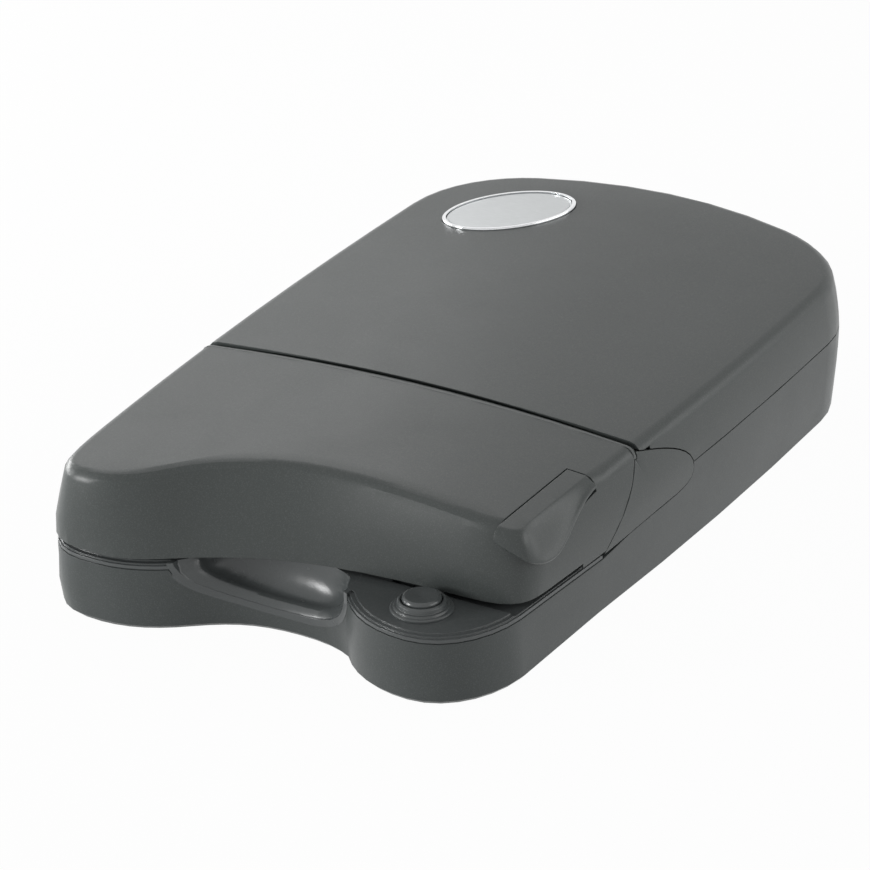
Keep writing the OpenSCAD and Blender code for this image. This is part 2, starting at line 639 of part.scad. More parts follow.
module lid_diffuser() {
    e = 1.5 - play/2;
    color([0.93, 0.94, 0.95]) union() {
        block(lamp_x0 + play, lamp_x1 - play, gate_y - lamp_w/2 + play, gate_y + lamp_w/2 - play,
            panel_bottom + 0.2, panel_bottom + 1.2);
        block(lamp_x0 - e, lamp_x1 + e, gate_y - lamp_w/2 - e, gate_y + lamp_w/2 + e,
            panel_bottom + 1, panel_bottom + under_t);
    }
}
// Lamp box over the film gate: a bent reflector on the diffuser, with the tube in its ends
lamp_z = panel_bottom + under_t + 7;
lamp_d = 4;
reflector_t = 0.8;
module lamp_reflector() {
    w = lamp_w/2;
    top = lamp_z + 5;
    base_z = panel_bottom + under_t;
    function bent(r, turn) = [for (a = turn ? along(180, 0, 10) : along(0, 180, 10))
        [gate_y + (w - r)*cos(a), base_z + (top - base_z - r)*sin(a)]];
    color([0.8, 0.8, 0.78]) difference() {
        union() {
            across(lamp_x0, lamp_x1) polygon(concat(bent(0, false), bent(reflector_t, true)));
            for (x = [lamp_x0, lamp_x1 - 1.6]) across(x, x + 1.6) polygon(bent(0, false));
        }
        translate([lamp_x0 - 1, gate_y, lamp_z]) rotate([0, 90, 0])
            cylinder(d = lamp_d, h = lamp_x1 - lamp_x0 + 2, $fn = 48);
    }
}
module lamp_tube() {
    color([0.96, 0.96, 0.93]) union() {
        translate([lamp_x0 - 1, gate_y, lamp_z]) rotate([0, 90, 0])
            cylinder(d = lamp_d, h = lamp_x1 - lamp_x0 + 2, $fn = 48);
        for (x = [lamp_x0 - 4, lamp_x1]) translate([x, gate_y, lamp_z]) rotate([0, 90, 0])
            cylinder(d = lamp_d + 2, h = 4, $fn = 48);
    }
}

// Lever along the lid's front right edge: a flat strip, a slanted face and an overhanging lip
hook_t = 1.8;
hook_w = 7;
hook_l = 4;
hook_y = gate_y + 1;
lever_pin_x = lever_x + 2;
lever_pin_l = 21.5;
lever_pin_y = hook_y - 9.5;
cheek_t = 2.2;
lever_gap = 0.6;
lever_z = top_z(lever_x) - lever_t - 1.6;
hook_x = lever_pin_x - 1.1;
slot_x0 = hook_x - 0.4;
slot_x1 = hook_x + hook_t + 2.8;
lever_rear = lid_front + lever_l;
lip_z = top_z(body_w/2) - lip_drop;
function space_curve(p, u, q, v, n) = [for (i = [1:n]) bez(p, p + u, q - v, q, i/n)];
// The lip's edge, from the lever's rear end round the lid's front corner to its inner edge
function lip_edge() = let (
        a = [side_x(lever_rear) - top_draft, lever_rear, axis_z + 2.2],
        b = [side_x(lid_front + 17) + lip_out, lid_front + 17, lip_z],
        c = [side_x(lid_front) + 1.9, lid_front + 4.4, lip_z + 3.8],
        d = [lever_x, lid_front - 0.5, axis_z + 2])
    concat([a], space_curve(a, [0.6, -13, -1.2], b, [0, -9, -0.8], 8),
        space_curve(b, [0, -5, 0.1], c, [-1.4, -2.4, 1.4], 4),
        space_curve(c, [-1.8, -2.2, 1.7], d, [-3.5, -0.4, 1], 5));
// Section from the inner edge at s to the lip at p; w is 1 where the section looks forwards
function lever_line(s, p) = let (
        w = max(0, min(1, (lid_front + 10 - p.y)/8)),
        run = norm([p.x - s.x, p.y - s.y]),
        flat = min(lever_flat*run/max(p.x - s.x, 0.01), run*0.96,
            (s.y - lid_front - top_r - top_draft)*run/max(s.y - p.y, 0.01)),
        at = s + (p - s)*flat/run,
        h = run - flat,
        v = top_z(at.x) - p.z,
        steps = [[0.35 + 0.2*w, 0.33 - 0.21*w], [0.68 + 0.2*w, 0.66 - 0.21*w], [0.92 + 0.08*w, 0.88 - 0.1*w]])
    concat([[0, top_z(s.x)], [flat*0.97, top_z(at.x)], [flat, top_z(at.x) - 0.1]],
        [for (k = steps) [flat + h*k[0], top_z(at.x) - v*k[1]]], [[run, p.z]]);
// Lever section by section, from its rear end to its inner edge at the front
module lever_shape() {
    edge = lip_edge();
    n = len(edge);
    front_s = lid_front + 9;
    rings = [for (i = [0:n - 1]) let (
            p = edge[i],
            s = [lever_x, max(p.y, front_s) - (p.y < front_s ? 1.6*(i - 11)/(n - 12) : 0)],
            d = ([p.x, p.y] - s)/norm([p.x, p.y] - s),
            face = lever_line(s, p),
            back = inset(face, -lever_t),
            m = len(face),
            t = (face[m - 1] - face[m - 2])/norm(face[m - 1] - face[m - 2]),
            nose = [face[m - 1] + 0.6*t + (back[m - 1] - face[m - 1])*0.2,
                (face[m - 1] + back[m - 1])/2 + t, back[m - 1] + 0.6*t],
            flat = concat(face, nose, [for (i = [m - 1:-1:1]) back[i]], [[0, back[0].y]]))
        [for (q = flat) [s.x + d.x*q.x, s.y + d.y*q.x, q.y]]];
    first = rings[0];
    last = rings[n - 1];
    skin(rings, (first[1] + first[len(first) - 2])/2, (last[1] + last[len(last) - 2])/2);
}
// Corner of the lid that the lever takes up, cut just out of sight behind the lip
function recess_z(p) = let (x = lever_x + lever_flat, k = (top_z(x) - p.z)/max(p.x - x, 1))
    min(p.z + 1.4, top_z(x) - k*(side_x(p.y) - 1.2 - x) - lever_t*sqrt(1 + k*k) - lever_gap/2);
module lever_recess() {
    edge = lip_edge();
    turn_y = lid_front + 6.5;
    side = [for (p = edge) if (p.y > turn_y - 3) p];
    front = [for (p = edge) if (p.y < turn_y + 3) p];
    intersection() {
        across(lever_x - lever_gap, body_w) polygon(concat([[lever_rear + lever_gap, 70],
            [lever_rear + lever_gap, recess_z(edge[0])]], [for (p = side) [p.y, recess_z(p)]],
            [[turn_y - 5, recess_z(side[len(side) - 1])], [turn_y - 5, 70]]));
        block(0, body_w, turn_y, 0, 0, 80);
    }
    intersection() {
        towards_rear(front_y, turn_y + 0.1) polygon(concat([[body_w, 70], [body_w, front[0].z - 1.3]],
            [for (p = front) [p.x, p.z - 1.3]],
            [[lever_x - lever_gap, edge[len(edge) - 1].z - 1.5], [lever_x - lever_gap, 70]]));
    }
}
module lever_lugs(grow) {
    for (s = [-1, 1]) translate([lever_pin_x, hook_y + s*5.4 - 1.4 - grow, lever_z]) {
        rotate([-90, 0, 0]) cylinder(r = 1.8 + grow, h = 2.8 + 2*grow, $fn = 32);
        translate([-1.8 - grow, 0, 0]) cube([3.6 + 2*grow, 2.8 + 2*grow, 2]);
    }
}
module lid_lever() {
    color(deep) difference() {
        union() {
            lever_shape();
            lever_lugs(0);
            block(hook_x, hook_x + hook_t, hook_y - hook_w/2, hook_y + hook_w/2, deck_z - hook_l,
                lever_z + 1.5);
        }
        translate([lever_pin_x, lever_pin_y - 1, lever_z]) rotate([-90, 0, 0])
            cylinder(d = lever_pin_d + run_play, h = lever_pin_l + 2, $fn = 32);
    }
}
module lever_pin() {
    color("silver") translate([lever_pin_x, lever_pin_y, lever_z])
        rotate([-90, 0, 0]) cylinder(d = lever_pin_d, h = lever_pin_l, $fn = 32);
}

// Hinge of the lid: two knuckles behind the deck's wall, each with a pin into the barrel
module hinge_brackets() {
    d = bulk_d + bulk_t + 0.05;
    color([0.5, 0.5, 0.52]) for (s = [-1, 1]) difference() {
        union() {
            across(s*knuckle_x - knuckle_w/2, s*knuckle_x + knuckle_w/2) polygon(concat(
                [[axis_y - lug_r*0.8, axis_z]], lid_rear(bulk_top, 28, 5, d),
                [[lid_rear_y(28) + d + 5, 28], [axis_y + lug_r, axis_z - 7],
                    [axis_y + lug_r, axis_z - lug_r - 2.4], [axis_y + lug_r/2, axis_z - lug_r*0.86]]));
            translate([s*knuckle_x - knuckle_w/2, axis_y, axis_z]) rotate([0, 90, 0])
                cylinder(r = lug_r, h = knuckle_w, $fn = 48);
        }
        translate([s*knuckle_x - knuckle_w, axis_y, axis_z]) rotate([0, 90, 0])
            cylinder(d = hinge_pin_d, h = 2*knuckle_w, $fn = 48);
    }
}
module hinge_pins() {
    color("silver") for (s = [-1, 1])
        translate([s*knuckle_x - pin_l/2 + play, axis_y, axis_z]) rotate([0, 90, 0])
            cylinder(d = hinge_pin_d, h = pin_l - 2*play, $fn = 48);
}

// Surface of the body's side at a station and height
function side_face(y, z) = let (zf = top_z(side_x(y)) - top_r)
    side_x(y) - wall_in(min(z, zf)) - (z < zf ? 0
        : top_r - sqrt(max(0, pow(top_r, 2) - pow(z - zf, 2))));
module hinge_cap() {
    rim = cap_outline();
    mid = [lid_rear_y(33) + 16, 30];
    function scaled(s) = [for (p = rim) mid + (p - mid)*s];
    function face(s) = [for (p = scaled(s)) [side_face(p.x, p.y), p.x, p.y]];
    back_x = side_x(axis_y) - wall - 1.7;
    back = [for (p = rim) [back_x, p.x, p.y]];
    difference() {
        union() {
        skin([back, face(1), face(0.7), face(0.35)], [back_x, mid.x, mid.y],
            [side_face(mid.x, mid.y), mid.x, mid.y]);
        intersection() {
            across(back_x - 1.2, back_x) offset(delta = 1.6) polygon(rim);
            across(back_x - 3, back_x + 3) polygon(concat(lid_rear(cap_foot_z - 4, axis_z - 1, 6, gap),
                [[nose_y + 8, axis_z - 1], [nose_y + 8, cap_foot_z - 4]]));
        }
        }
        barrel(barrel_gap);
        lid_swing(barrel_gap);
    }
}
module hinge_cap_right() {
    color(dark) hinge_cap();
}
module hinge_cap_left() {
    color(dark) mirror([1, 0, 0]) hinge_cap();
}

// Button, its bezel and its switch
stem_d = 5;
switch_z = 12.5;
switch_h = 3.5;
module button_bezel() {
    r = bezel_d/2;
    bore = cap_d/2 + 0.3;
    color(deep) translate([button_x, button_y, deck_z]) rotate_extrude($fn = 72)
        polygon([[bore, 0], [r, 0], [r, 0.6], [r - 0.3, 0.9], [r - 1.1, 1], [r - 1.3, 1.6],
            [r - 2.1, 1.7], [r - 2.3, bezel_h - 0.5], [r - 2.8, bezel_h], [bore + 0.3, bezel_h],
            [bore, bezel_h - 0.3]]);
}
module scan_button() {
    r = cap_d/2;
    top = deck_z + bezel_h + 1.2;
    foot = switch_z + switch_h + button_travel + 0.3;
    under = deck_z + button_travel + 0.4;
    color(deep) translate([button_x, button_y, 0]) rotate_extrude($fn = 72)
        polygon([[0, foot], [stem_d/2, foot], [stem_d/2, under], [r, under], [r, top - 0.9],
            [r - 0.3, top - 0.3], [r - 0.9, top], [r - 2.4, top - 0.1], [0, top - 0.5]]);
}
module button_switch() {
    color([0.12, 0.35, 0.22]) block(button_x - 7.5, button_x + 10.5, button_y - 8, button_y + 8,
        switch_z - 1.2, switch_z);
    color([0.1, 0.1, 0.1]) union() {
        block(button_x - 3, button_x + 3, button_y - 3, button_y + 3, switch_z, switch_z + switch_h - 0.7);
        post(button_x, button_y, switch_z, switch_z + switch_h, 3.4);
    }
}

// Feet and screws
module rubber_feet() {
    color([0.12, 0.12, 0.12]) for (x = [-60, 60]) for (y = [-112, 108])
        translate([x, y, -foot_h]) {
            cylinder(d1 = foot_d - 0.8, d2 = foot_d, h = 0.4, $fn = 64);
            translate([0, 0, 0.4]) cylinder(d = foot_d, h = foot_h - 0.4, $fn = 64);
        }
}
module screw(x, y, top) {
    difference() {
        union() {
            post(x, y, head_z - head_h, head_z, head_d);
            post(x, y, head_z - 1, top, screw_d);
        }
        for (a = [0, 90]) translate([x, y, head_z - head_h]) rotate([0, 0, a])
            cube([3, 0.8, 2.2], center = true);
    }
}
module case_screws() {
    color("silver") {
        for (s = cover_screws) screw(s.x, s.y, 34);
        for (s = deck_screws) screw(s.x, s.y, deck_z - deck_t);
    }
}

// Optical sled: an open tray on two rods, with its mirror, lens and sensor, and the rack
optic_z = 10.4;
sled_x0 = gate_x - 16;
sled_x1 = gate_x + 16;
sled_y0 = gate_y - gate_w/2 - 8;
sled_y1 = 10;
sled_z = 4;
sled_h = 11;
sled_t = 1.6;
rod_z = 9;
rod_x = [gate_x - 20.5, gate_x + 20.5];
bush_d = rod_d + 3;
lug_y = [sled_y0 + 15, -4];
lug_l = 10;
mirror_y = gate_y - gate_w/2;
mirror_l = 5;
mirror_t = 1.5;
lens_r = 4.5;
rack_line = -24;
rack_z = 12.5;
rack_h = 3.5;
drive_y = -14;
rack_len = sled_travel + 10;
rack_y0 = drive_y - sled_travel - 5;
wheel_x = rack_line + gear_m*rack_teeth/2;
axle_d = 3;
wheel_z = 17;

module gear_2d(teeth) {
    r = gear_m*teeth/2;
    step = 360/teeth;
    function tip(a, rr) = rr*dir(a);
    polygon([for (i = [0:teeth - 1]) each [tip((i - 0.34)*step, r - 1.2*gear_m),
        tip((i - 0.235)*step, r), tip((i - 0.12)*step, r + 0.95*gear_m),
        tip((i + 0.12)*step, r + 0.95*gear_m), tip((i + 0.235)*step, r),
        tip((i + 0.34)*step, r - 1.2*gear_m)]]);
}
// Rack teeth towards +X: a gap of the rack faces the small pinion's tooth at rest
module rack() {
    p = PI*gear_m;
    n = ceil(rack_len/p/2);
    profile = concat([[rack_line - 4.2, -n*p]], [for (i = [-n:n - 1]) each
        [[rack_line - 1.2*gear_m, (i + 0.16)*p], [rack_line, (i + 0.265)*p],
            [rack_line + 0.9*gear_m, (i + 0.38)*p], [rack_line + 0.9*gear_m, (i + 0.62)*p],
            [rack_line, (i + 0.735)*p], [rack_line - 1.2*gear_m, (i + 0.84)*p]]],
        [[rack_line - 1.2*gear_m, n*p], [rack_line - 4.2, n*p]]);
    intersection() {
        translate([0, drive_y, rack_z]) linear_extrude(rack_h) union() {
            polygon(profile);
            translate([0, -3*p*n]) square(0.01);
        }
        block(sled_x1 - 1, 0, rack_y0, rack_y0 + rack_len, 0, 30);
    }
}
module optical_sled() {
    color([0.3, 0.31, 0.32]) difference() {
        union() {
            difference() {
                block(sled_x0, sled_x1, sled_y0, sled_y1, sled_z, sled_z + sled_h);
                block(sled_x0 + sled_t, sled_x1 - sled_t, sled_y0 + sled_t, sled_y1 - sled_t,
                    sled_z + sled_t, sled_z + sled_h + 1);
            }
            for (y = lug_y) for (s = [-1, 1]) {
                block(min(gate_x + s*15, gate_x + s*24.5), max(gate_x + s*15, gate_x + s*24.5),
                    y, y + lug_l, rod_z - 4.5, rod_z + 3);
            }
            // Seat of the mirror, saddles of the lens and ribs behind the sensor
            across(sled_x0 + 1, sled_x1 - 1) polygon(mirror_seat());
            for (y = [-43, -33]) block(sled_x0 + 1, sled_x1 - 1, y, y + 2, sled_z + 1, optic_z + 1.5);
            for (x = [sled_x0 + 1, sled_x1 - 4]) block(x, x + 3, 5.4, 8, sled_z + 1, sled_z + sled_h);
            difference() {
                block(sled_x1 - 1, rack_line - 3, rack_y0, rack_y0 + rack_len, rack_z, rack_z + rack_h);
                block(sled_x1 - 3, sled_x1 - sled_t, rack_y0 - 1, rack_y0 + rack_len + 1, 0, 30);
            }
            rack();
        }
        translate([gate_x, -50, optic_z]) rotate([-90, 0, 0]) cylinder(r = lens_r, h = 30, $fn = 64);
        for (x = rod_x) translate([x, sled_y0 - 5, rod_z]) rotate([-90, 0, 0])
            cylinder(d = bush_d, h = 200, $fn = 48);
    }
}
function mirror_seat() = let (k = sqrt(0.5), n = [k, k], d = [k, -k],
        c = [mirror_y, optic_z] - mirror_t*n)
    [c - mirror_l*d, c + mirror_l*d, [(c + mirror_l*d).x, sled_z + 1], [sled_y0 + 1, sled_z + 1],
        [sled_y0 + 1, (c - mirror_l*d).y]];
module sled_mirror() {
    color([0.85, 0.88, 0.9]) translate([gate_x, mirror_y, optic_z]) rotate([-45, 0, 0])
        translate([-13, -mirror_l, -mirror_t]) cube([26, 2*mirror_l, mirror_t]);
}
module sled_bushes() {
    color([0.8, 0.65, 0.35]) for (x = rod_x) for (y = lug_y)
        translate([x, y - 0.6, rod_z]) rotate([-90, 0, 0]) difference() {
            cylinder(d = bush_d, h = lug_l + 1.2, $fn = 48);
            translate([0, 0, -1]) cylinder(d = rod_d + run_play, h = lug_l + 4, $fn = 48);
        }
}
module lens_barrel() {
    color([0.1, 0.1, 0.11]) translate([gate_x, -46, optic_z]) rotate([-90, 0, 0])
        rotate_extrude($fn = 64) polygon([[3, 0], [lens_r, 0], [lens_r, 18], [2.4, 18], [2.4, 6],
            [3, 4]]);
}
module lens_glass() {
    color([0.6, 0.75, 0.8]) translate([gate_x, -45, optic_z]) rotate([-90, 0, 0])
        rotate_extrude($fn = 64) polygon([[0, -0.5], [1.6, -0.3], [3, 0.3], [3, 1.6], [0, 2.2]]);
}
module sensor_board() {
    color([0.1, 0.32, 0.2]) block(sled_x0 + sled_t + play, sled_x1 - sled_t - play, 4, 5.4,
        sled_z + sled_t, sled_z + sled_h - 0.5);
    color([0.1, 0.1, 0.1]) block(gate_x - 11, gate_x + 11, 2.4, 4, optic_z - 2, optic_z + 2);
}
module guide_rods() {
    color("silver") for (x = rod_x) translate([x, holder_y[0] + 0.5, rod_z]) rotate([-90, 0, 0])
        cylinder(d = rod_d, h = holder_y[1] - holder_y[0] + 3, $fn = 48);
}
holder_y = [sled_y0 + 8, 47];
module rod_holders() {
    color([0.45, 0.46, 0.48]) difference() {
        for (x = rod_x) for (y = holder_y) {
            block(x - 3.6, x + 3.6, y, y + 4, wall, rod_z + 4);
            block(x - 3.6, x + 3.6, y - 2, y + 6, wall, wall + 1.6);
        }
        for (x = rod_x) translate([x, holder_y[0] + 0.5, rod_z]) rotate([-90, 0, 0])
            cylinder(d = rod_d, h = holder_y[1] - holder_y[0] + 3, $fn = 48);
    }
}

// Drive: the small pinion moves the rack, its large gear is turned by the motor's pinion
motor_x = wheel_x + gear_m*(motor_teeth + wheel_teeth)/2;
module drive_wheel() {
    color([0.9, 0.88, 0.82]) translate([wheel_x, drive_y, 0]) difference() {
        union() {
            translate([0, 0, 12.2]) linear_extrude(wheel_z - 12.2 + 0.2) rotate([0, 0, 180])
                gear_2d(rack_teeth);
            translate([0, 0, wheel_z]) linear_extrude(wheel_t) gear_2d(wheel_teeth);
        }
        translate([0, 0, 10]) cylinder(d = axle_d + run_play, h = 15, $fn = 48);
        for (a = [0:60:300]) rotate([0, 0, a]) translate([10.4, 0, wheel_z - 1])
            cylinder(d = 5, h = wheel_t + 2, $fn = 32);
    }
}
module wheel_axle() {
    color("silver") translate([wheel_x, drive_y, wall]) {
        cylinder(d = axle_d, h = wheel_z + wheel_t - wall + 0.6, $fn = 48);
        translate([0, 0, 11.2 - wall]) cylinder(d = axle_d + 3, h = 0.8, $fn = 48);
    }
}
motor_d = 26;
motor_h = 16;
shaft_d = 2;
plate_z = wheel_z + wheel_t + 1.4;
plate_t = 1.5;
module motor_pinion() {
    turn = 180 + 180/motor_teeth;
    color([0.85, 0.7, 0.35]) translate([motor_x, drive_y, wheel_z - 0.2]) {
        union() {
            linear_extrude(wheel_t + 0.4) rotate([0, 0, turn]) gear_2d(motor_teeth);
            cylinder(d = shaft_d, h = plate_z + 8 - wheel_z, $fn = 32);
        }
    }
}
module stepper_motor() {
    top = plate_z + plate_t;
    color([0.55, 0.56, 0.58]) translate([motor_x, drive_y, 0]) difference() {
        union() {
            translate([0, 0, top]) cylinder(d = motor_d, h = motor_h, $fn = 72);
            translate([0, 0, plate_z]) cylinder(d = 8, h = plate_t + 1, $fn = 48);
            for (a = [0, 180]) rotate([0, 0, a]) translate([14.8, 0, top]) {
                cylinder(d = 6, h = 0.8, $fn = 32);
                translate([-6, -3, 0]) cube([6, 6, 0.8]);
            }
        }
        for (x = [-14.8, 14.8]) translate([x, 0, top - 1]) cylinder(d = 2.6, h = 3, $fn = 32);
        translate([0, 0, plate_z - 1]) cylinder(d = shaft_d + run_play, h = 9.5, $fn = 32);
    }
}
module motor_bracket() {
    y0 = drive_y - 22.5;
    y1 = drive_y + 22;
    color([0.62, 0.63, 0.65]) difference() {
        union() {
            block(motor_x - 18.5, motor_x + 18.5, y0, y1, plate_z, plate_z + plate_t);
            for (y = [y0, y1 - 2]) block(motor_x - 6, motor_x + 12, y, y + 2, wall, plate_z + 1);
            block(motor_x - 6, motor_x + 12, y0 - 6, y0 + 1, wall, wall + 1.6);
            block(motor_x - 6, motor_x + 12, y1 - 1, y1 + 6, wall, wall + 1.6);
        }
        translate([motor_x, drive_y, plate_z - 1]) cylinder(d = 8, h = 5, $fn = 48);
    }
}

// Main board, port panel, sockets and power switch
board_posts = [[-54, 61], [50, 61], [-14, 112], [26, 112]];
board_z = 8;
board_t = 1.6;
usb_x = 14;
power_x = -6;
switch_x = -28;
socket_z = board_z + board_t;
module main_board() {
    color([0.1, 0.34, 0.2]) difference() {
        block(-60, 56, 55, 118, board_z, board_z + board_t);
        for (s = [-1, 1]) post(s*40, 108, 0, 20, post_d + 1.6);
        for (p = board_posts) post(p.x, p.y, 0, 20, 2.6);
    }
    color([0.1, 0.1, 0.11]) {
        block(-30, -8, 72, 94, socket_z, socket_z + 2.2);
        block(4, 20, 66, 78, socket_z, socket_z + 1.6);
        block(26, 44, 84, 94, socket_z, socket_z + 1.6);
    }
    color([0.2, 0.22, 0.4]) for (p = [[-46, 84], [-46, 96], [34, 72]])
        post(p.x, p.y, socket_z, socket_z + 10, 8);
}
module port_panel() {
    flange = 1.6;
    x = panel_w/2;
    z = panel_h/2;
    color(deep) difference() {
        union() {
            block(-x + play, x - play, panel_y - panel_t, panel_y, panel_z - z + play,
                panel_z + z - play);
            block(-x - flange, x + flange, panel_y - panel_t - flange, panel_y - panel_t,
                panel_z - z - flange, panel_z + z + flange);
        }
        block(usb_x - 6.2, usb_x + 6.2, 100, panel_y + 1, socket_z - 0.2, socket_z + 11.2);
        translate([power_x, 100, socket_z + 5.4]) rotate([-90, 0, 0])
            cylinder(d = 9, h = 40, $fn = 48);
        block(switch_x - 6.5, switch_x + 6.5, 100, panel_y + 1, panel_z - 4.5, panel_z + 4.5);
    }
}
module usb_socket() {
    color([0.75, 0.76, 0.78]) difference() {
        block(usb_x - 6, usb_x + 6, 110.5, panel_y + 0.4, socket_z, socket_z + 11);
        difference() {
            block(usb_x - 4.3, usb_x + 4.3, 118, panel_y + 5, socket_z + 1.5, socket_z + 9.5);
            block(usb_x - 2.8, usb_x + 2.8, 110, panel_y - 1, socket_z + 3.9, socket_z + 7.1);
        }
    }
}
module power_socket() {
    color([0.1, 0.1, 0.11]) difference() {
        union() {
            block(power_x - 5, power_x + 5, 111, panel_y - panel_t - 2, socket_z, socket_z + 10.8);
            translate([power_x, 118, socket_z + 5.4]) rotate([-90, 0, 0])
                cylinder(d = 8.6, h = panel_y + 0.4 - 118, $fn = 48);
        }
        translate([power_x, 117, socket_z + 5.4]) rotate([-90, 0, 0]) difference() {
            cylinder(d = 6, h = 20, $fn = 48);
            translate([0, 0, -1]) cylinder(d = 2, h = 9, $fn = 24);
        }
    }
}
rocker_y = panel_y - 1.2;
rocker_r = 6.2;
rocker_tilt = 8;
module switch_frame() {
    color([0.1, 0.1, 0.11]) difference() {
        union() {
            block(switch_x - 7.5, switch_x + 7.5, panel_y, panel_y + 0.9, panel_z - 5.5, panel_z + 5.5);
            block(switch_x - 6.4, switch_x + 6.4, panel_y - 11, panel_y + 0.4, panel_z - 4.4,
                panel_z + 4.4);
        }
        block(switch_x - 5, switch_x + 5, panel_y - 9, panel_y + 5, panel_z - 3.9, panel_z + 3.9);
        translate([switch_x - 6, rocker_y, panel_z]) rotate([0, 90, 0])
            cylinder(d = 1.6 + run_play, h = 12, $fn = 32);
    }
}
module power_rocker() {
    face = [for (a = along(-34, 34, 6)) [rocker_r*cos(a) - 2.6, rocker_r*sin(a)*0.98]];
    color([0.2, 0.2, 0.21]) translate([switch_x, rocker_y, panel_z]) rotate([rocker_tilt, 0, 0])
        union() {
            across(-4.7, 4.7) polygon(concat(face, [[-3.2, 2.2], [-3.2, -2.2]]));
            translate([-5.9, 0, 0]) rotate([0, 90, 0]) cylinder(d = 1.6, h = 11.8, $fn = 32);
        }
}

// Spring of the lever: a coil on the pin with a leg on the lid and a leg under the lever
module lever_spring() {
    wire = 0.45;
    inner = lever_pin_d/2 + 0.05;
    outer = inner + wire;
    y = hook_y + 6.95;
    color("silver") translate([lever_pin_x, y, lever_z]) union() {
        rotate([-90, 0, 0]) rotate_extrude($fn = 32)
            polygon(concat([[inner, 0]], [for (i = [0:2]) each [[outer - 0.15, i*wire],
                [outer, (i + 0.5)*wire], [outer - 0.15, (i + 1)*wire - 0.05]]], [[inner, 3*wire - 0.05]]));
        block(0, 3.6, 0.1, 0.1 + wire*0.7, 0.15 - outer, 0.15 - outer + wire*0.7);
        block(0.15 - outer, 0.15 - outer + wire*0.7, 2.1*wire, 2.8*wire, -1.6 - wire, 0);
    }
}

placed() base_shell();
placed() front_deck();
placed() upper_cover();
placed() lid_shell();
placed() lid_barrel();
placed() lid_underside();
placed() lamp_tube();
placed() lamp_reflector();
placed() lid_diffuser();
placed() lid_lever();
placed() lever_pin();
placed() lever_spring();
placed() hinge_brackets();
placed() hinge_pins();
placed() hinge_cap_left();
placed() hinge_cap_right();
placed() scan_button();
placed() button_bezel();
placed() button_switch();
placed() badge_plate();
placed() badge_ring();
placed() rubber_feet();
placed() case_screws();
placed() gate_glass();
placed() optical_sled();
placed() sled_bushes();
placed() sled_mirror();
placed() lens_barrel();
placed() lens_glass();
placed() sensor_board();
placed() guide_rods();
placed() rod_holders();
placed() drive_wheel();
placed() wheel_axle();
placed() motor_pinion();
placed() stepper_motor();
placed() motor_bracket();
placed() main_board();
placed() port_panel();
placed() usb_socket();
placed() power_socket();
placed() switch_frame();
placed() power_rocker();
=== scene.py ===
"""Looks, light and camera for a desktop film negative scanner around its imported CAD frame.

Lengths are in metres in the frame of the CAD model: +X to the right seen from the front,
+Y towards the rear with the sockets, +Z up, and the table at Z = 0.
"""

import json
import logging
import math
from collections.abc import Callable
from dataclasses import dataclass, field
from enum import Enum

import bmesh
import bpy
from mathutils import Matrix, Vector
from mathutils.kdtree import KDTree

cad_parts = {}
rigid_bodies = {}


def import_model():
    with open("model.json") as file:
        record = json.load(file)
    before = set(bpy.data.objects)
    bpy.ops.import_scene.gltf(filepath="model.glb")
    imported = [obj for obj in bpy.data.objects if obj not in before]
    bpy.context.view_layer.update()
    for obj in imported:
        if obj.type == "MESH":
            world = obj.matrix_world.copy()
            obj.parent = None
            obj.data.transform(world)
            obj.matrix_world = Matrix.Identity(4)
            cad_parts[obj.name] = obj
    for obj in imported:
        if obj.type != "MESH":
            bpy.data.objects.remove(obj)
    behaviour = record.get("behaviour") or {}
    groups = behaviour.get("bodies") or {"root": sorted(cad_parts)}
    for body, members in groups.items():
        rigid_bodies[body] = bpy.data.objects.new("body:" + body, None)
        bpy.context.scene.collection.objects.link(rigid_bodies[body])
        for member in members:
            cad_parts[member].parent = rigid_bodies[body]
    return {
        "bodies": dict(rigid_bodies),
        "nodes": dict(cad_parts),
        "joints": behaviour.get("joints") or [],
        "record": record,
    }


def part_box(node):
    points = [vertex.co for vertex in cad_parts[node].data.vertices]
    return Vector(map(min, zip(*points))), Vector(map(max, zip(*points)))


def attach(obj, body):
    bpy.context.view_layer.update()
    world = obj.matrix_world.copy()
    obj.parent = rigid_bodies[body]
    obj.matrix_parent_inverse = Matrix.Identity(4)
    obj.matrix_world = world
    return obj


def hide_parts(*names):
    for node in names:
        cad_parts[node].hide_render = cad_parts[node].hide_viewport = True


LOG = logging.getLogger("scanner")
MM = 0.001
PHOTO_SIDE = 870
WELD = 0.002 * MM
EVEN_WEIGHT = 60
STRETCHES = ("Stretch X", "Stretch Y", "Stretch Z")
WHITE_LIGHT = (1.0, 1.0, 1.0, 1.0)

Colour = tuple[float, float, float]
Mover = Callable[[Vector], Vector]
Group = tuple[bpy.types.NodeTree, "Link", bpy.types.Node, bpy.types.Node]


class Axis(Enum):
    """Direction in which a brushed metal's scratches run."""

    X = (0.04, 1.0, 1.0)
    Y = (1.0, 0.04, 1.0)
    Z = (1.0, 1.0, 0.04)


